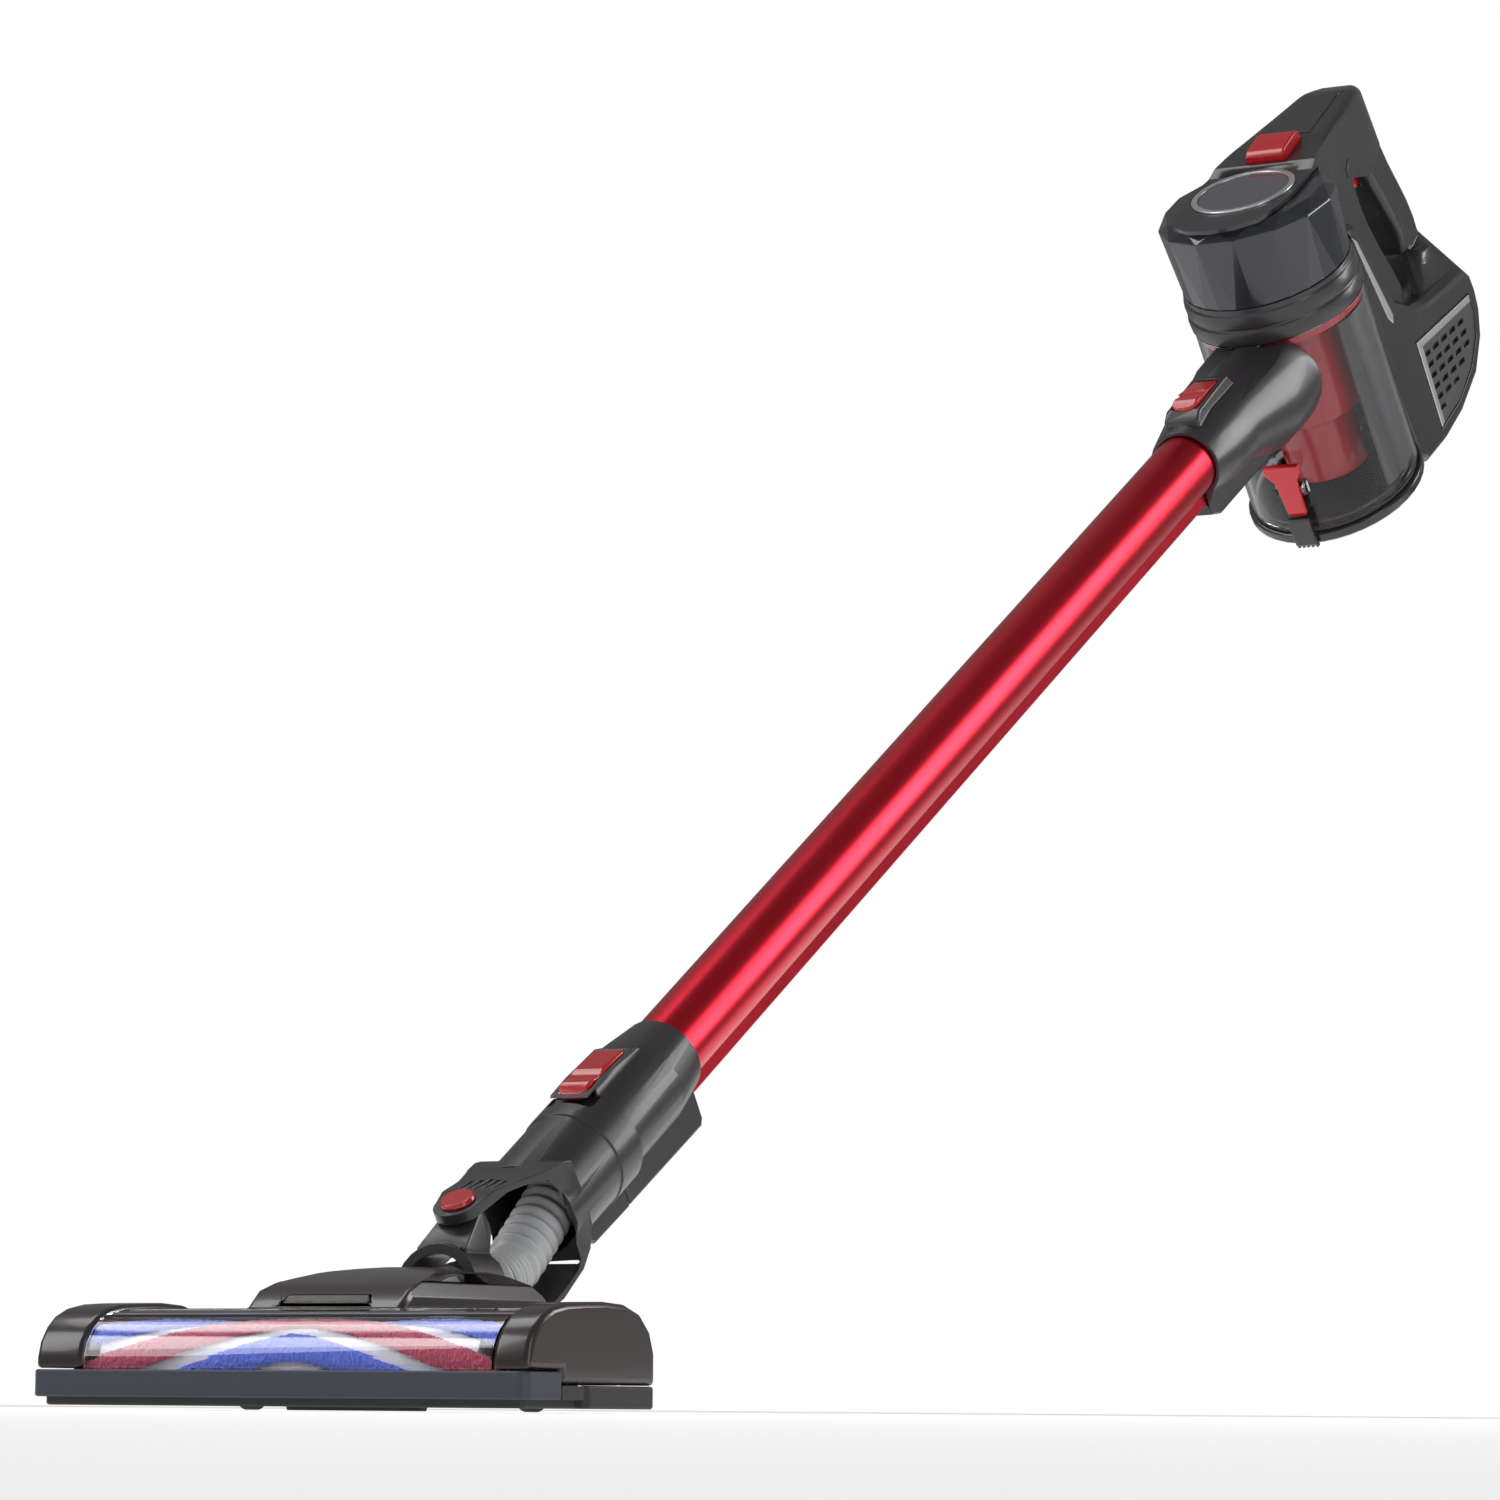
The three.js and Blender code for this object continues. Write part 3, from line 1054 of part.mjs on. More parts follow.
function grille(side) {
  const s = side < 0 ? -1 : 1;
  const a = s * (BLOCK_HALF - 2);
  const b = s * (BLOCK_HALF - 0.4);
  let panel = slab(grilleLine(-GAP), Math.min(a, b), Math.max(a, b));
  panel = panel.subtract(grilleTrim(side, GAP));
  const slope = Math.atan2(-23, 81);
  for (let row = 0; row < 6; row++) {
    for (let k = 0; k < 5; k++) {
      const along = 9 + k * 13.2;
      const down = 11 + row * 7;
      const y = 80 + along * Math.cos(slope) - 2 + row * -0.8;
      const z = 43 + along * Math.sin(slope) - down;
      const low = -8 + Math.max(0, (y - 118) * 0.42);
      if (z < low || y > 148) continue;
      const slot = box(-3, 3, -4.6, 4.6, -1.5, 1.5).rotate([(slope * 180) / Math.PI, 0, 0]);
      panel = panel.subtract(slot.translate([s * (BLOCK_HALF - 2), y, z]));
    }
  }
  return panel;
}

function grilleTrim(side, grow) {
  const s = side < 0 ? -1 : 1;
  const line = [[77.6, 43.4], [157, 20.8], [156, 16.6], [82.6, 37.2], [76.4, -12], [71.8, -12.4]];
  const shape = line.map(([y, z]) => [y, z]).reverse();
  const a = s * (BLOCK_HALF - 1.9 - grow);
  const b = s * (BLOCK_HALF + 0.6 + grow);
  const strip = slab(shape, Math.min(a, b), Math.max(a, b));
  if (!grow) return strip;
  const wide = line.map(([y, z]) => [y, z]);
  const more = [
    [wide[0][0] - 1, wide[0][1] + 1], [wide[1][0] + 1, wide[1][1] + 1],
    [wide[2][0] + 1, wide[2][1] - grow],
  ];
  more.push(
    [wide[3][0] + grow, wide[3][1] - grow], [wide[4][0] + grow, wide[4][1] - 1],
    [wide[5][0] - 1, wide[5][1] - 1],
  );
  return slab(more.reverse(), Math.min(a, b), Math.max(a, b));
}

function trimStrip(side, grow) {
  const s = side < 0 ? -1 : 1;
  const line = [
    [49 - grow, 137 + grow], [53 + grow, 132 + grow], [63 + grow, 74], [60, 70 - grow],
    [56 - grow, 76],
  ];
  const a = s * (BLOCK_HALF - 1.2 - grow);
  const b = s * (BLOCK_HALF + 0.4 + grow);
  return slab(line.reverse(), Math.min(a, b), Math.max(a, b));
}

function housingBlank(grow) {
  const top = (w) => topAt(w);
  const side = [
    [-33 - grow, top(-33) - DECK_T - grow], [-33 - grow, top(-33)], [45, top(45)],
    [54, top(54) + 2.6],
  ];
  side.push(
    [88, top(88) + PANEL_LIFT], [152, top(152) + PANEL_LIFT], [164, top(164) + 2.4],
    [171, top(171) - 3],
  );
  side.push(
    [175 + grow, top(175) - 11], [176 + grow, 141 - grow], [171 + grow, 131 - grow],
    [160, 127 - grow], [136 - grow, 128 - grow],
  );
  side.push(
    [122, 131 - grow], [104, 142 - grow], [92, 150 - grow], [70 - grow, 156 - grow],
    [BLOCK_FRONT - grow, 160 - grow], [BLOCK_FRONT - grow, top(BLOCK_FRONT) - DECK_T - grow],
  );
  const lift = slab(side.reverse(), -44, 44);
  const plan = [
    [-26, -22], [-31.5, -6], [-33.5, 12], [-33, 34], [-31, 56], [-27, 88], [-22.6, 122],
    [-19, 148], [-15.6, 161], [-10, 171], [-4, 175.4],
  ];
  const left = plan.map(([x, y]) => [x - grow, y]);
  const right = plan.map(([x, y]) => [-x + grow, y]).reverse();
  const front = [[14, -30 - grow], [0, -32.4 - grow], [-14, -30 - grow]];
  const outline = [...left, ...right, ...front].reverse();
  return lift.intersect(plate(outline, 100, 260));
}

function topHousing() {
  let h = housingBlank(0);
  const inside = [
    [48, 163], [71, 160], [93, 154], [106, 146], [124, 135], [138, 132], [158, 131], [167, 135],
  ];
  inside.push([170, 142], [167, 154], [160, 162], [150, 167], [92, 178], [86, 175], [48, 175]);
  const flank = [[-28, 48], [-24, 88], [-19.6, 122], [-16, 148], [-9, 168]];
  const flanks = [...flank.map(([x, y]) => [-x, y]), ...flank.reverse()];
  const lining = plate(flanks, 100, 260);
  h = h.subtract(slab(inside, -30, 30).intersect(lining));
  const well = plate(roundRect(-12 - RUN, 12 + RUN, 56 - RUN, 83 + RUN, 1), 178, 220);
  h = h.subtract(well);
  h = h.subtract(tilted(rod(BADGE_R + 2.2, -0.9, 6, 36), BADGE_W));
  h = h.subtract(tilted(plate(panelLine(GAP), -0.9, 8), 0).translate([0, 0, PANEL_LIFT]));
  return h.subtract(box(-6 - RUN, 6 + RUN, 128, TRIGGER_REAR + TRIGGER_TRAVEL + RUN, 100, 137 + RUN));
}

// Lays a flat piece on the sloping top of the housing.
const tilted = (solid, w) => solid.rotate([-TOP_SLOPE, 0, 0]).translate([0, w, topAt(w)]);

function panelLine(grow) {
  const g = grow;
  const right = [[14 + g, 92 - g], [10.4 + g, 138], [8.6 + g, 149 + g]];
  const left = right.map(([x, y]) => [-x, y]).reverse();
  return [...right, ...left];
}

function batteryPack() {
  let pack;
  for (let row = 0; row < 2; row++) {
    for (let col = 0; col < 3; col++) {
      const cell = alongX(rod(CELL_R, -CELL_LEN / 2, CELL_LEN / 2, 20));
      const placed = cell.translate([0, 90 + col * CELL_PITCH, -8 + row * CELL_PITCH]);
      pack = pack ? pack.add(placed) : placed;
    }
  }
  return pack;
}

function batteryDoor() {
  return slab(blockLine.concat([[171, 40], [36, 40]]), -BLOCK_HALF, BLOCK_HALF, 6, 3)
    .intersect(box(-34 + GAP, 34 - GAP, 66 + GAP, 139 - GAP, -60, -18.6));
}

function cupRelease() {
  const side = [[56, 180], [56, 192.6], [60, 194.4], [78, 193], [82.4, 190.6], [83, 180]];
  return slab(side, -12, 12, 1.2, 2);
}

function triggerKey() {
  const side = [
    [136.4, 115], [TRIGGER_REAR, 115], [TRIGGER_REAR, 136.5], [133.4, 136.5], [130.8, 131], [131.4, 124],
    [133.6, 116],
  ];
  return slab(side, -6, 6, 1.2, 2);
}

function chargeSocket() {
  const sleeve = rod(5, 161, 171.4, 24).subtract(rod(1.6, 164, 180, 14));
  return alongY(sleeve).translate([0, 0, 18]);
}

add(cupFrame, "dust_cup", dustCup(), CLEAR);
add(handFrame, "cup_lid", cupLid(), SOOT);
add(handFrame, "lid_seal", lidSeal(), SOOT);
add(handFrame, "lid_latch", lidLatch(), RED);
add(handFrame, "latch_clip", latchClip(), SOOT);
add(cupFrame, "cyclone", cyclone(), RED);
add(cupFrame, "pleated_filter", pleatedFilter(), PILE_WHITE);
add(cupFrame, "cup_liner", cupLiner(), SOOT);
add(cupFrame, "cup_collar", cupCollar(), BLACK);
add(cupFrame, "motor_cap", motorCap(), SMOKE);
add(cupFrame, "suction_motor", suctionMotor(), STEEL);
add(cupFrame, "impeller", impeller(), SOOT);
add(handFrame, "main_body", mainBody(), BLACK);
add(handFrame, "top_housing", topHousing(), BLACK);
add(handFrame, "badge_ring", tilted(ringOf(BADGE_R - 1.8, BADGE_R + 1.8, -0.6, 1.2, 36), BADGE_W), SILVER);
add(handFrame, "badge_disc", tilted(rod(BADGE_R - 2.1, -0.6, 0.5, 36), BADGE_W), SMOKE);
add(handFrame, "top_panel", tilted(plate(panelLine(0), -0.6, 0.5), 0).translate([0, 0, PANEL_LIFT]), BLACK);
add(handFrame, "cup_release", cupRelease(), RED);
add(handFrame, "trigger", triggerKey(), RED);
add(handFrame, "grille_left", grille(-1), SOOT);
add(handFrame, "grille_right", grille(1), SOOT);
add(handFrame, "grille_trim_left", grilleTrim(-1, 0), SILVER);
add(handFrame, "grille_trim_right", grilleTrim(1, 0), SILVER);
add(handFrame, "accent_trim_left", trimStrip(-1, 0), SILVER);
add(handFrame, "accent_trim_right", trimStrip(1, 0), SILVER);
add(handFrame, "battery_pack", batteryPack(), BLUE);
add(handFrame, "battery_door", batteryDoor(), BLACK);
add(handFrame, "control_board", box(-27, 27, 68, 70, -14, 19), GREEN);
add(handFrame, "charge_socket", chargeSocket(), SOOT);

export default group;
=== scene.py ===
import math
import random

import bpy
from mathutils import Matrix, Vector


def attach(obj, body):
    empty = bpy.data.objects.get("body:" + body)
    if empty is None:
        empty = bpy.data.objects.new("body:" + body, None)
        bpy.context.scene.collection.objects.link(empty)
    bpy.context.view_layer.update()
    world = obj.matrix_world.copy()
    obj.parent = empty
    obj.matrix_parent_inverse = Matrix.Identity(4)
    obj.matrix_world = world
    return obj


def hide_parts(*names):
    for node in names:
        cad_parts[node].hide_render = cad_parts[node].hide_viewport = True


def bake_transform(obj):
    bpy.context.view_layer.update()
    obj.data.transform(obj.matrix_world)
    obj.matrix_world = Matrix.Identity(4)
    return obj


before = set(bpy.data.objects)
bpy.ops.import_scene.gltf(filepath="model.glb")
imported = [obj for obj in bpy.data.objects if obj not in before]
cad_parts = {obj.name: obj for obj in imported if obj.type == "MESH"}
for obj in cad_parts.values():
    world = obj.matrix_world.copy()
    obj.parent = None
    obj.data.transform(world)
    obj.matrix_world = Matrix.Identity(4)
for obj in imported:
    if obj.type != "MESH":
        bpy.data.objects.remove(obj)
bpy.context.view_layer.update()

# ---- Studio ----
# A pale floor, a soft white room, and large soft lights that give the long streaks on the
# glossy mouldings and on the anodised tube.
VIEW_TURN = math.radians(30.93)
VIEW_RISE = math.radians(6.31)
VIEW_ROLL = math.radians(0.47)
VIEW_PLACE = Vector((1.4457, -2.0935, 0.0015))
LENS = 143.33
SENSOR = 36.0
FAR_CLIP = 40.0
FLOOR_SIZE = 14.0
FLOOR_PLACE = (0.0, 0.4, -0.0004)
FLOOR_GLOW = 0.42
SKY_GLOW = 0.2
WHITE = (1.0, 1.0, 1.0, 1.0)

ahead = Vector((
    -math.sin(VIEW_TURN) * math.cos(VIEW_RISE),
    math.cos(VIEW_TURN) * math.cos(VIEW_RISE),
    math.sin(VIEW_RISE),
))
level = Vector((math.cos(VIEW_TURN), math.sin(VIEW_TURN), 0.0))
upright = level.cross(ahead)
across = math.cos(VIEW_ROLL) * level + math.sin(VIEW_ROLL) * upright
upward = math.cos(VIEW_ROLL) * upright - math.sin(VIEW_ROLL) * level
camera_data = bpy.data.cameras.new("camera")
camera_data.lens = LENS
camera_data.sensor_width = SENSOR
camera_data.clip_end = FAR_CLIP
camera = bpy.data.objects.new("camera", camera_data)
bpy.context.collection.objects.link(camera)
turned = Matrix((across, upward, -ahead)).transposed().to_4x4()
camera.matrix_world = Matrix.Translation(VIEW_PLACE) @ turned
bpy.context.scene.camera = camera
bpy.context.scene.view_settings.view_transform = "Standard"

bpy.ops.object.select_all(action="DESELECT")
bpy.ops.mesh.primitive_plane_add(size=FLOOR_SIZE, location=FLOOR_PLACE)
floor = bpy.context.object
floor.name = "floor"
floor_paint = bpy.data.materials.new("floor_paint")
floor_paint.use_nodes = True
floor_shader = floor_paint.node_tree.nodes["Principled BSDF"]
floor_shader.inputs["Base Color"].default_value = (0.95, 0.95, 0.95, 1.0)
floor_shader.inputs["Emission Color"].default_value = WHITE
floor_shader.inputs["Emission Strength"].default_value = FLOOR_GLOW
floor_shader.inputs["Roughness"].default_value = 0.75
floor.data.materials.append(floor_paint)

room = bpy.data.worlds.new("room")
room.use_nodes = True
bpy.context.scene.world = room
sky = room.node_tree.nodes["Background"]
sky.inputs["Strength"].default_value = SKY_GLOW
sky.inputs["Color"].default_value = WHITE
backdrop = room.node_tree.nodes.new("ShaderNodeBackground")
backdrop.inputs["Strength"].default_value = 1.0
backdrop.inputs["Color"].default_value = WHITE
seen = room.node_tree.nodes.new("ShaderNodeLightPath")
choice = room.node_tree.nodes.new("ShaderNodeMixShader")
room.node_tree.links.new(seen.outputs["Is Camera Ray"], choice.inputs[0])
room.node_tree.links.new(sky.outputs[0], choice.inputs[1])
room.node_tree.links.new(backdrop.outputs[0], choice.inputs[2])
room.node_tree.links.new(choice.outputs[0], room.node_tree.nodes["World Output"].inputs[0])


def softbox(name, place, aim, width, height, power):
    """A rectangular soft light at place, facing aim."""
    data = bpy.data.lights.new(name, "AREA")
    data.shape = "RECTANGLE"
    data.size, data.size_y = width, height
    data.energy = power
    lamp = bpy.data.objects.new(name, data)
    bpy.context.collection.objects.link(lamp)
    turn = (Vector(aim) - Vector(place)).to_track_quat("-Z", "Y").to_matrix().to_4x4()
    lamp.matrix_world = Matrix.Translation(Vector(place)) @ turn


softbox("key_light", (-2.2, -1.6, 2.0), (0.0, 0.5, 0.35), 1.2, 1.6, 30.0)
softbox("side_light", (2.6, -1.2, 1.1), (0.0, 0.5, 0.4), 0.5, 2.0, 15.0)
softbox("top_light", (-1.2, 0.3, 2.7), (0.0, 0.5, 0.3), 1.2, 1.6, 20.0)
softbox("streak_light", (1.9, 2.4, 1.6), (0.0, 0.5, 0.35), 0.9, 1.5, 30.0)


# ---- Cleaner head: base, cover and end caps ----
# A wide flat head, injection moulded in dark glossy plastic: a base tray, a cover clipped over it
# and a cap on each end. A soft rubber strip runs along the front, and a small latch holds a cap.
# The moulded skin gives each surface a fine grain, a slow drift in gloss and paler worn edges.
GRAIN_DETAIL = 2.0
DRIFT_SCALE = 22.0
DRIFT_DETAIL = 5.0
RUB_SCALE = 160.0
EDGE_FROM = 0.57
EDGE_TO = 0.7
BUMP_DEPTH = 0.001
COAT_ROUGH = 0.05
WELD = 0.00002
SLIVER = 0.00008
FLAT_ANGLE = math.radians(0.4)


def socket(tree, name, kind, way, value=None):
    made = tree.interface.new_socket(name=name, in_out=way, socket_type=kind)
    if value is not None:
        made.default_value = value
    return made


def skin_group():
    """Colour, roughness and height of a moulded or rubber surface."""
    tree = bpy.data.node_groups.new("moulded_skin", "ShaderNodeTree")
    socket(tree, "Colour", "NodeSocketColor", "INPUT")
    socket(tree, "Worn", "NodeSocketColor", "INPUT")
    socket(tree, "Roughness", "NodeSocketFloat", "INPUT", 0.3)
    socket(tree, "Drift", "NodeSocketFloat", "INPUT", 0.06)
    socket(tree, "Grain", "NodeSocketFloat", "INPUT", 1400.0)
    socket(tree, "Wear", "NodeSocketFloat", "INPUT", 0.5)
    socket(tree, "Colour", "NodeSocketColor", "OUTPUT")
    socket(tree, "Roughness", "NodeSocketFloat", "OUTPUT")
    socket(tree, "Height", "NodeSocketFloat", "OUTPUT")
    n, link = tree.nodes, tree.links.new
    source, sink = n.new("NodeGroupInput"), n.new("NodeGroupOutput")
    place = n.new("ShaderNodeTexCoord")
    fine = n.new("ShaderNodeTexNoise")
    fine.inputs["Detail"].default_value = GRAIN_DETAIL
    link(place.outputs["Object"], fine.inputs["Vector"])
    link(source.outputs["Grain"], fine.inputs["Scale"])
    link(fine.outputs["Fac"], sink.inputs["Height"])
    slow = n.new("ShaderNodeTexNoise")
    slow.inputs["Scale"].default_value = DRIFT_SCALE
    slow.inputs["Detail"].default_value = DRIFT_DETAIL
    link(place.outputs["Object"], slow.inputs["Vector"])
    shift = n.new("ShaderNodeMath")
    shift.operation = "SUBTRACT"
    shift.inputs[1].default_value = 0.5
    link(slow.outputs["Fac"], shift.inputs[0])
    amount = n.new("ShaderNodeMath")
    amount.operation = "MULTIPLY_ADD"
    link(shift.outputs[0], amount.inputs[0])
    link(source.outputs["Drift"], amount.inputs[1])
    link(source.outputs["Roughness"], amount.inputs[2])
    link(amount.outputs[0], sink.inputs["Roughness"])
    shape = n.new("ShaderNodeNewGeometry")
    edge = n.new("ShaderNodeMapRange")
    edge.inputs["From Min"].default_value = EDGE_FROM
    edge.inputs["From Max"].default_value = EDGE_TO
    link(shape.outputs["Pointiness"], edge.inputs["Value"])
    broken = n.new("ShaderNodeTexNoise")
    broken.inputs["Scale"].default_value = RUB_SCALE
    link(place.outputs["Object"], broken.inputs["Vector"])
    rubbed = n.new("ShaderNodeMath")
    rubbed.operation = "MULTIPLY"
    link(edge.outputs["Result"], rubbed.inputs[0])
    link(broken.outputs["Fac"], rubbed.inputs[1])
    mask = n.new("ShaderNodeMath")
    mask.operation = "MULTIPLY"
    mask.use_clamp = True
    link(rubbed.outputs[0], mask.inputs[0])
    link(source.outputs["Wear"], mask.inputs[1])
    paint = n.new("ShaderNodeMix")
    paint.data_type = "RGBA"
    link(mask.outputs[0], paint.inputs["Factor"])
    link(source.outputs["Colour"], paint.inputs["A"])
    link(source.outputs["Worn"], paint.inputs["B"])
    link(paint.outputs["Result"], sink.inputs["Colour"])
    return tree


moulded_skin = skin_group()


def moulded(name, colour, rough, grain=1400.0, depth=0.02, drift=0.08, wear=0.6,
            coat=0.0, metal=0.0, clear=0.0, ior=1.5, sheen=0.0):
    """A material with the moulded skin on a Principled shader."""
    made = bpy.data.materials.new(name)
    made.use_nodes = True
    n, link = made.node_tree.nodes, made.node_tree.links.new
    shader = n["Principled BSDF"]
    skin = n.new("ShaderNodeGroup")
    skin.node_tree = moulded_skin
    skin.inputs["Colour"].default_value = (*colour, 1.0)
    pale = tuple(min(1.0, c * 1.5 + 0.02) for c in colour)
    skin.inputs["Worn"].default_value = (*pale, 1.0)
    skin.inputs["Roughness"].default_value = rough
    skin.inputs["Drift"].default_value = drift
    skin.inputs["Grain"].default_value = grain
    skin.inputs["Wear"].default_value = wear
    shader.inputs["Base Color"].default_value = (*colour, 1.0)
    shader.inputs["Roughness"].default_value = rough
    if wear:
        link(skin.outputs["Colour"], shader.inputs["Base Color"])
    if drift:
        link(skin.outputs["Roughness"], shader.inputs["Roughness"])
    bump = n.new("ShaderNodeBump")
    bump.inputs["Strength"].default_value = depth
    bump.inputs["Distance"].default_value = BUMP_DEPTH
    link(skin.outputs["Height"], bump.inputs["Height"])
    link(bump.outputs["Normal"], shader.inputs["Normal"])
    shader.inputs["Metallic"].default_value = metal
    shader.inputs["Coat Weight"].default_value = coat
    shader.inputs["Coat Roughness"].default_value = COAT_ROUGH
    shader.inputs["Transmission Weight"].default_value = clear
    shader.inputs["IOR"].default_value = ior
    shader.inputs["Sheen Weight"].default_value = sheen
    return made


def pick(ob):
    """Only ob is selected and active."""
    bpy.ops.object.select_all(action="DESELECT")
    ob.select_set(True)
    bpy.context.view_layer.objects.active = ob


def merged_copy(node, flatten=True):
    """A copy of a CAD shape with its loose triangles merged, and its flat faces made whole."""
    ob = bpy.data.objects.new(node + "_fine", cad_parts[node].data.copy())
    bpy.context.collection.objects.link(ob)
    pick(ob)
    bpy.ops.object.mode_set(mode="EDIT")
    bpy.ops.mesh.select_all(action="SELECT")
    bpy.ops.mesh.remove_doubles(threshold=WELD)
    if flatten:
        bpy.ops.mesh.dissolve_degenerate(threshold=SLIVER)
        bpy.ops.mesh.dissolve_limited(angle_limit=FLAT_ANGLE)
    bpy.ops.object.mode_set(mode="OBJECT")
    return ob


def stand_in(ob, node, body, finish):
    """ob takes the finish, stands for the CAD node and rides on the body."""
    ob.data.materials.clear()
    ob.data.materials.append(finish)
    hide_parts(node)
    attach(ob, body)


def dressed(node, body, finish, edge=0.0005, angle=34.0, flatten=True):
    """A fine copy of a CAD shape: merged, its edges rounded and its curves smooth."""
    ob = merged_copy(node, flatten)
    if edge:
        rounding = ob.modifiers.new("rounding", "BEVEL")
        rounding.width = edge
        rounding.segments = 2
        rounding.limit_method = "ANGLE"
        rounding.angle_limit = math.radians(angle)
        rounding.use_clamp_overlap = False
        rounding.miter_outer = "MITER_ARC"
        bpy.ops.object.modifier_apply(modifier="rounding")
    bpy.ops.object.shade_smooth_by_angle(angle=math.radians(angle))
    even = ob.modifiers.new("even", "WEIGHTED_NORMAL")
    even.keep_sharp = True
    bpy.ops.object.modifier_apply(modifier="even")
    stand_in(ob, node, body, finish)
    return ob


def refinished(node, finish):
    """A CAD shape that stays as it is takes a better finish."""
    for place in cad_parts[node].material_slots:
        place.link = "OBJECT"
        place.material = finish


shell_dark = moulded("shell_dark", (0.03, 0.022, 0.022), 0.26, depth=0.008, coat=0.2)
base_black = moulded("base_black", (0.022, 0.02, 0.022), 0.42, depth=0.03)
bumper_rubber = moulded("bumper_rubber", (0.038, 0.046, 0.062), 0.5, depth=0.05, grain=1800.0)
dressed("head_base", "head", base_black)
dressed("head_cover", "head", shell_dark, edge=0.0008)
dressed("left_end_cap", "head", shell_dark, edge=0.0008)
dressed("right_end_cap", "head", shell_dark, edge=0.0008)
dressed("front_bumper", "head", bumper_rubber, edge=0.0006)
dressed("end_cap_latch", "cap_latch", base_black, edge=0.0004)

# ---- Head: window, lamp and roller ----
# A clear polycarbonate window snaps in over the roller. Behind its small lens sits a lamp board.
# The roller is a white core that turns in two bearings, with clipped blue and red nylon pile
# bonded to it in chevrons.
window_clear = moulded("window_clear", (0.97, 0.98, 1.0), 0.02, depth=0.0, drift=0.0, wear=0.0,
                       clear=1.0)
lens_clear = moulded("lens_clear", (0.8, 0.77, 0.66), 0.15, depth=0.02, wear=0.0, clear=0.85)
led_cream = moulded("led_cream", (0.8, 0.7, 0.35), 0.4)
roller_white = moulded("roller_white", (0.82, 0.82, 0.88), 0.9, grain=900.0, depth=0.6, sheen=0.4)
pile_blue = moulded("pile_blue", (0.09, 0.16, 0.75), 0.9, grain=700.0, depth=0.9, sheen=0.5)
pile_red = moulded("pile_red", (0.5, 0.04, 0.1), 0.9, grain=700.0, depth=0.9, sheen=0.5)
window = dressed("brush_window", "head", window_clear, edge=0.0)
window.visible_shadow = False
lens = dressed("lamp_lens", "head", lens_clear, edge=0.0004)
lens.visible_shadow = False
dressed("led_board", "head", led_cream, edge=0.0002)
dressed("brush_core", "brush_roll", roller_white, edge=0.0)

ROLL_AXIS = Vector((0.0, -0.037, 0.0198))
ROLL_HALF = 0.1085
PILE_R = 0.0184
PILE_T = 0.0026
PILE_WIDTH = math.radians(40)
STRIP_STEP = math.radians(60)
STRIP_FRONT = math.radians(58)
STRIP_PITCH = 0.34
PEAK_ROUND = 0.01
PEAK_X = 0.004
STRIP_CELLS = (300, 12)
STRIPS = 3
TURN_JITTER = 0.02
EDGE_FALL = 0.0009
TUFT = 0.0008


def pile_strips(name, first_turn, finish, node, seed):
    """Three chevron strips of clipped pile, a third of a turn apart."""
    chance = random.Random(seed)
    strips = []
    for k in range(STRIPS):
        bpy.ops.object.select_all(action="DESELECT")
        bpy.ops.mesh.primitive_grid_add(
            x_subdivisions=STRIP_CELLS[0], y_subdivisions=STRIP_CELLS[1], size=2.0)
        strip = bpy.context.object
        for vertex in strip.data.vertices:
            x, across_strip, _ = vertex.co
            along = x * ROLL_HALF
            turn = first_turn + 2 * k * STRIP_STEP + PILE_WIDTH * 0.5 * across_strip
            turn += 2 * math.pi * math.hypot(along - PEAK_X, PEAK_ROUND) / STRIP_PITCH
            turn += chance.uniform(-TURN_JITTER, TURN_JITTER)
            r = PILE_R - EDGE_FALL * abs(across_strip) ** 3 - chance.uniform(0.0, TUFT)
            vertex.co = ROLL_AXIS + Vector((along, -r * math.sin(turn), r * math.cos(turn)))
        pick(strip)
        depth = strip.modifiers.new("depth", "SOLIDIFY")
        depth.thickness = PILE_T
        depth.offset = 1.0
        bpy.ops.object.modifier_apply(modifier="depth")
        strips.append(strip)
    for strip in strips:
        strip.select_set(True)
    bpy.context.view_layer.objects.active = strips[0]
    bpy.ops.object.join()
    pile = bpy.context.object
    pile.name = name
    bpy.ops.object.mode_set(mode="EDIT")
    bpy.ops.mesh.select_all(action="SELECT")
    bpy.ops.mesh.normals_make_consistent(inside=False)
    bpy.ops.object.mode_set(mode="OBJECT")
    pile.data.materials.append(finish)
    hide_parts(node)
    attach(pile, "brush_roll")


pile_strips("pile_blue_strips", STRIP_FRONT, pile_blue, "pile_blue", 3)
pile_strips("pile_red_strips", STRIP_FRONT - STRIP_STEP, pile_red, "pile_red", 5)

# ---- Head: drive and wheels ----
# A small motor drives the roller by a rubber belt, on pulleys between two plain bearings.
# Two rubber-tyred wheels turn on steel pins that are pressed into the base.
inner_black = moulded("inner_black", (0.035, 0.035, 0.035), 0.5)
belt_rubber = moulded("belt_rubber", (0.04, 0.04, 0.04), 0.7, depth=0.1)
wheel_rubber = moulded("wheel_rubber", (0.045, 0.045, 0.045), 0.7, depth=0.1)
steel_pin = moulded("steel_pin", (0.6, 0.61, 0.63), 0.3, metal=1.0, depth=0.03)
motor_can = moulded("motor_can", (0.55, 0.56, 0.58), 0.35, metal=1.0, depth=0.03)
for node in ("brush_bearing_left", "brush_bearing_right"):
    refinished(node, inner_black)
refinished("drive_belt", belt_rubber)
refinished("brush_motor", motor_can)
refinished("motor_pulley", steel_pin)
dressed("wheel_left", "left_wheel", wheel_rubber)
dressed("wheel_right", "right_wheel", wheel_rubber)
refinished("wheel_axle_left", steel_pin)
refinished("wheel_axle_right", steel_pin)

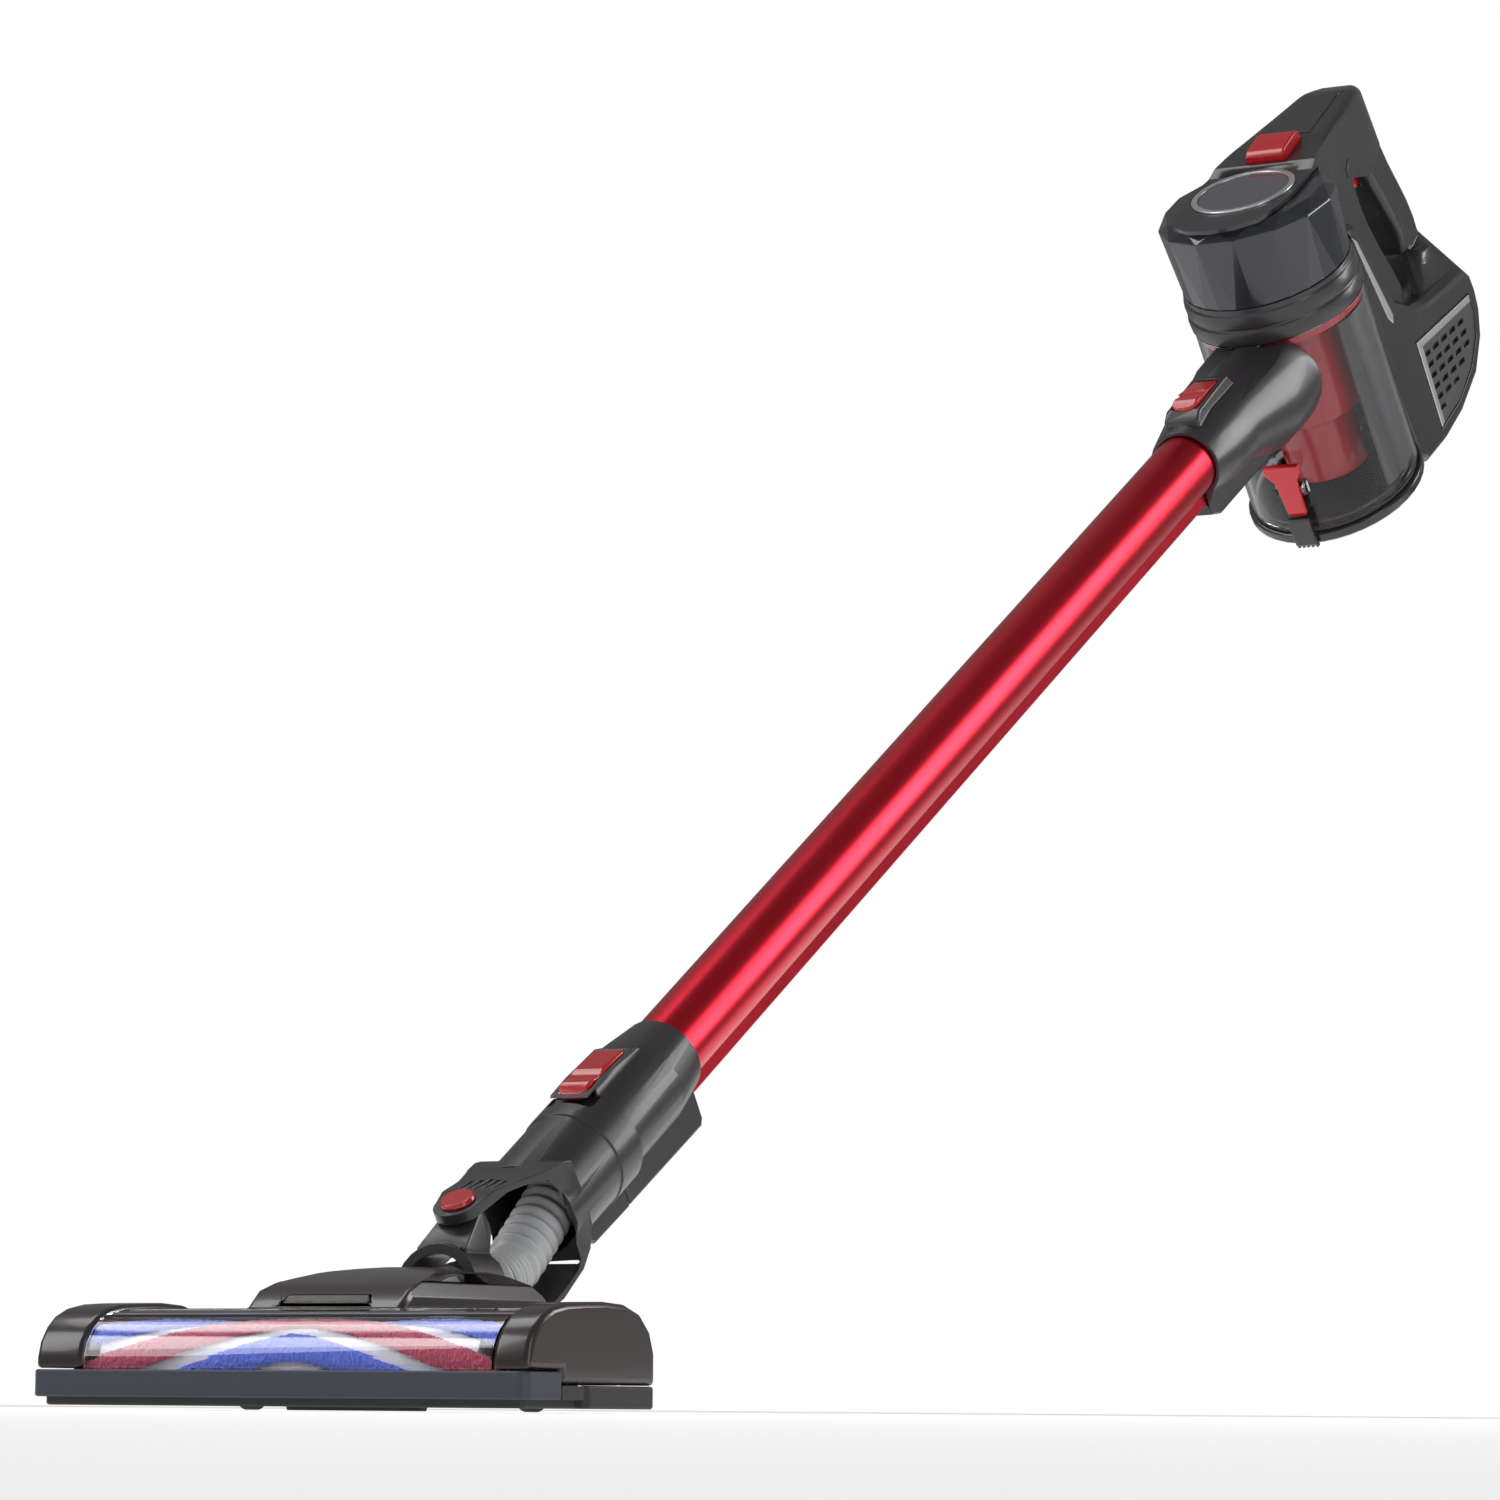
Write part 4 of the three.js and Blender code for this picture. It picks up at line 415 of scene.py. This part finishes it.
# ---- Elbow, neck and hose ----
# A glossy moulded elbow tilts on the head and a neck swivels on it, held by an upper pin under a
# red cap and a lower pin. A ribbed grey plastic hose carries the air past both pivots.
gloss_black = moulded("gloss_black", (0.03, 0.027, 0.03), 0.33, depth=0.008, coat=0.12)
red_gloss = moulded("red_gloss", (0.52, 0.006, 0.014), 0.22, depth=0.01, coat=0.4)
hose_grey = moulded("hose_grey", (0.55, 0.56, 0.57), 0.35, depth=0.03, coat=0.2)
dressed("elbow", "elbow", gloss_black)
dressed("swivel_neck", "neck", gloss_black)
dressed("swivel_pin_top", "neck", red_gloss)
refinished("swivel_pin_bottom", inner_black)

WAND_PITCH = math.radians(33.2)
WAND_FOOT = Vector((0.0, 0.092, 0.065))
HOSE_R = 0.0132
HOSE_WALL = 0.0016
RIB_STEP = 0.0062
RIB_DEPTH = 0.0026
RIB_SHAPE = 0.7
HOSE_SIDES = 48
KNOT_STEPS = 24
LAYER = 0.01
LOW_ROUTE = ((-44.0, 5.0), (-28.0, 0.4), (-9.4, -7.0), (5.0, -13.2), (20.0, -15.6))
HIGH_ROUTE = ((5.0, -13.2), (20.0, -15.6), (36.0, -13.6), (54.0, -10.4), (68.0, -8.0))


def wand_point(x, t, n):
    """A point given in the wand's own frame, t along the tube, as a point of the whole."""
    c, k = math.cos(WAND_PITCH), math.sin(WAND_PITCH)
    return WAND_FOOT + Vector((x, t * c - n * k, t * k + n * c))


def hose_length(name, route):
    """A stretch of ribbed hose along route, bending across one joint."""
    knots = [Vector((0.0, t / 1000, n / 1000)) for t, n in route]
    line = []
    for i in range(len(knots) - 1):
        before = knots[max(0, i - 1)]
        after = knots[min(len(knots) - 1, i + 2)]
        for k in range(KNOT_STEPS):
            u = k / KNOT_STEPS
            a, b = knots[i], knots[i + 1]
            pull_a, pull_b = (b - before) / 2, (after - a) / 2
            line.append(
                a * (2 * u**3 - 3 * u**2 + 1) + b * (3 * u**2 - 2 * u**3)
                + pull_a * (u**3 - 2 * u**2 + u) + pull_b * (u**3 - u**2)
            )
    line.append(knots[-1])
    bpy.ops.object.select_all(action="DESELECT")
    bpy.ops.mesh.primitive_circle_add(vertices=HOSE_SIDES, radius=HOSE_R, fill_type="NOTHING")
    hose = bpy.context.object
    hose.name = name
    bpy.ops.object.mode_set(mode="EDIT")
    for _ in range(len(line) - 1):
        bpy.ops.mesh.extrude_region_move(TRANSFORM_OT_translate={"value": (0.0, 0.0, LAYER)})
    bpy.ops.object.mode_set(mode="OBJECT")
    run = [0.0]
    for i in range(1, len(line)):
        run.append(run[-1] + (line[i] - line[i - 1]).length)
    for vertex in hose.data.vertices:
        i = round(vertex.co.z / LAYER)
        here = line[i]
        way = (line[min(i + 1, len(line) - 1)] - line[max(i - 1, 0)]).normalized()
        side = Vector((0.0, way.z, -way.y))
        rib = 0.5 + 0.5 * math.cos(2 * math.pi * run[i] / RIB_STEP)
        r = HOSE_R - RIB_DEPTH * (1 - rib**RIB_SHAPE)
        turn = math.atan2(vertex.co.y, vertex.co.x)
        spot = here + side * (-r * math.sin(turn))
        vertex.co = wand_point(r * math.cos(turn), spot.y, spot.z)
    pick(hose)
    wall = hose.modifiers.new("wall", "SOLIDIFY")
    wall.thickness = HOSE_WALL
    wall.offset = -1.0
    bpy.ops.object.modifier_apply(modifier="wall")
    bpy.ops.object.mode_set(mode="EDIT")
    bpy.ops.mesh.select_all(action="SELECT")
    bpy.ops.mesh.normals_make_consistent(inside=False)
    bpy.ops.object.mode_set(mode="OBJECT")
    bpy.ops.object.shade_smooth_by_angle(angle=math.radians(60.0))
    hose.data.materials.append(hose_grey)
    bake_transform(hose)
    return hose


low_hose = hose_length("hose_low", LOW_ROUTE)
high_hose = hose_length("hose_high", HIGH_ROUTE)
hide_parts("neck_hose")
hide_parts("neck_hose")
dressed("neck_release", "neck_button", red_gloss, edge=0.0006)

# ---- Wand ----
# A drawn aluminium tube, anodised red, with a ridge along its underside that carries the wires.
# A moulded collar is pressed on its lower end and takes the neck.
wand_red = moulded("wand_red", (0.72, 0.018, 0.04), 0.3, metal=1.0, depth=0.01, wear=0.2)
dressed("wand_tube", "wand", wand_red, edge=0.0006)
dressed("wand_collar", "wand", gloss_black, edge=0.0)

# ---- Intake duct ----
# A glossy moulded duct, fixed to the side of the cup, that takes the top end of the wand.
# A red sprung button on it lets the wand go.
dressed("intake_duct", "cup", gloss_black)
dressed("intake_release", "intake_button", red_gloss, edge=0.0006)

# ---- Dust cup ----
# A clear polycarbonate cup round a red cyclone and a pleated filter, with a dark liner behind.
# A dark lid with a rubber seal hinges at the bottom, and a red lever on the cup holds it shut.
cup_clear = moulded("cup_clear", (0.93, 0.94, 0.95), 0.03, depth=0.0, drift=0.0, wear=0.0,
                    clear=1.0, ior=1.3)
cyclone_red = moulded("cyclone_red", (0.36, 0.004, 0.016), 0.25, depth=0.01, coat=0.2)
filter_white = moulded("filter_white", (0.86, 0.86, 0.84), 0.8, depth=0.3)
lid_black = moulded("lid_black", (0.02, 0.02, 0.022), 0.2, coat=0.3)
seal_rubber = moulded("seal_rubber", (0.05, 0.05, 0.05), 0.7)
cup = dressed("dust_cup", "cup", cup_clear, edge=0.0004)
cup.visible_shadow = False
dressed("cyclone", "cup", cyclone_red)
dressed("pleated_filter", "cup", filter_white, edge=0.0002)
dressed("cup_liner", "cup", gloss_black, edge=0.0003)
dressed("cup_lid", "lid", lid_black)
dressed("lid_seal", "lid", seal_rubber, edge=0.0002)
dressed("lid_latch", "lid_lever", red_gloss)
dressed("latch_clip", "lid", lid_black, edge=0.0003)

# ---- Motor cap and collar ----
# A faceted cap in smoke-tinted plastic covers the suction motor and its impeller. It stands on a
# two-band collar that the cup locks into from below.
smoke_tint = moulded("smoke_tint", (0.02, 0.022, 0.03), 0.16, depth=0.003, coat=0.4)
dressed("cup_collar", "hand_unit", gloss_black)
dressed("motor_cap", "hand_unit", smoke_tint, angle=7.0)
refinished("suction_motor", motor_can)
refinished("impeller", inner_black)

# ---- Hand housing ----
# A dark moulded grip and rear block in two screwed shells, with a top housing clipped over them.
# Silver painted trims and a blank badge are pressed in. The battery and its board sit inside.
silver_paint = moulded("silver_paint", (0.6, 0.61, 0.63), 0.26, metal=0.8, depth=0.01)
badge_face = moulded("badge_face", (0.09, 0.09, 0.105), 0.2, coat=0.3, depth=0.01)
housing_black = moulded("housing_black", (0.022, 0.02, 0.021), 0.27, depth=0.006, coat=0.2)
cell_wrap = moulded("cell_wrap", (0.08, 0.2, 0.55), 0.35)
board_green = moulded("board_green", (0.06, 0.28, 0.14), 0.4)
dressed("main_body", "hand_unit", housing_black)

HAND_TILT = math.radians(44.93)
HAND_FOOT = Vector((0.0, 0.9699, 0.5264))
CREST = ((45.0, 187.8), (54.0, 188.66), (88.0, 184.22), (152.0, 171.72), (164.0, 166.98),
         (171.0, 160.21), (175.0, 151.43))
SHOULDER = 0.005
SHOULDER_STEPS = 5
SHARP_ANGLE = math.radians(38)
SMOOTH_ANGLE = math.radians(34)
RIM_FROM_W = 84.0
RIM_REAR_W = 160.0
RIM_SIDE_X = 15.0
CREST_GAP = 1.2


def hand_frame(point):
    """x, w and v of a point in the hand unit's own tilted frame, in millimetres."""
    d = (Vector(point) - HAND_FOOT) * 1000
    c, t = math.cos(HAND_TILT), math.sin(HAND_TILT)
    return d.x, d.y * c + d.z * t, d.z * c - d.y * t


def crest_at(w):
    """The height of the top housing's crest at a place along it, in millimetres."""
    for (w0, v0), (w1, v1) in zip(CREST, CREST[1:]):
        if w0 <= w <= w1:
            return v0 + (v1 - v0) * (w - w0) / (w1 - w0)
    return CREST[0][1] if w < CREST[0][0] else CREST[-1][1]


housing = merged_copy("top_housing")
bpy.ops.object.mode_set(mode="EDIT")
bpy.ops.mesh.select_mode(type="EDGE")
bpy.ops.mesh.select_all(action="DESELECT")
bpy.ops.object.mode_set(mode="OBJECT")
spots = [hand_frame(v.co) for v in housing.data.vertices]
faces_of = {}
for face in housing.data.polygons:
    for key in face.edge_keys:
        faces_of.setdefault(key, []).append(face.normal.copy())
for rim in housing.data.edges:
    a, b = (spots[i] for i in rim.vertices)
    sides = faces_of.get(tuple(sorted(rim.vertices)), [])
    sharp = len(sides) == 2 and sides[0].angle(sides[1]) > SHARP_ANGLE
    outer = min(abs(a[0]), abs(b[0])) > RIM_SIDE_X or max(a[1], b[1]) > RIM_REAR_W
    high = all(abs(spot[2] - crest_at(spot[1])) < CREST_GAP for spot in (a, b))
    if sharp and outer and high and min(a[1], b[1]) > RIM_FROM_W:
        rim.select = True
bpy.ops.object.mode_set(mode="EDIT")
bpy.ops.mesh.bevel(
    offset=SHOULDER, segments=SHOULDER_STEPS, affect="EDGES", clamp_overlap=False)
bpy.ops.object.mode_set(mode="OBJECT")
bpy.ops.object.shade_smooth_by_angle(angle=SMOOTH_ANGLE)
stand_in(housing, "top_housing", "hand_unit", housing_black)
dressed("badge_ring", "hand_unit", silver_paint)
dressed("badge_disc", "hand_unit", badge_face, edge=0.0002)
dressed("top_panel", "hand_unit", housing_black, edge=0.0003)
dressed("cup_release", "cup_button", red_gloss, edge=0.0006)
dressed("trigger", "power_trigger", red_gloss, edge=0.0006)
for side in ("left", "right"):
    dressed("grille_" + side, "hand_unit", inner_black, edge=0.0, flatten=False)
    dressed("grille_trim_" + side, "hand_unit", silver_paint, edge=0.0004)
    dressed("accent_trim_" + side, "hand_unit", silver_paint, edge=0.0004)
dressed("battery_door", "hand_unit", housing_black, edge=0.0004)
refinished("battery_pack", cell_wrap)
refinished("control_board", board_green)
dressed("charge_socket", "hand_unit", inner_black, edge=0.0002)
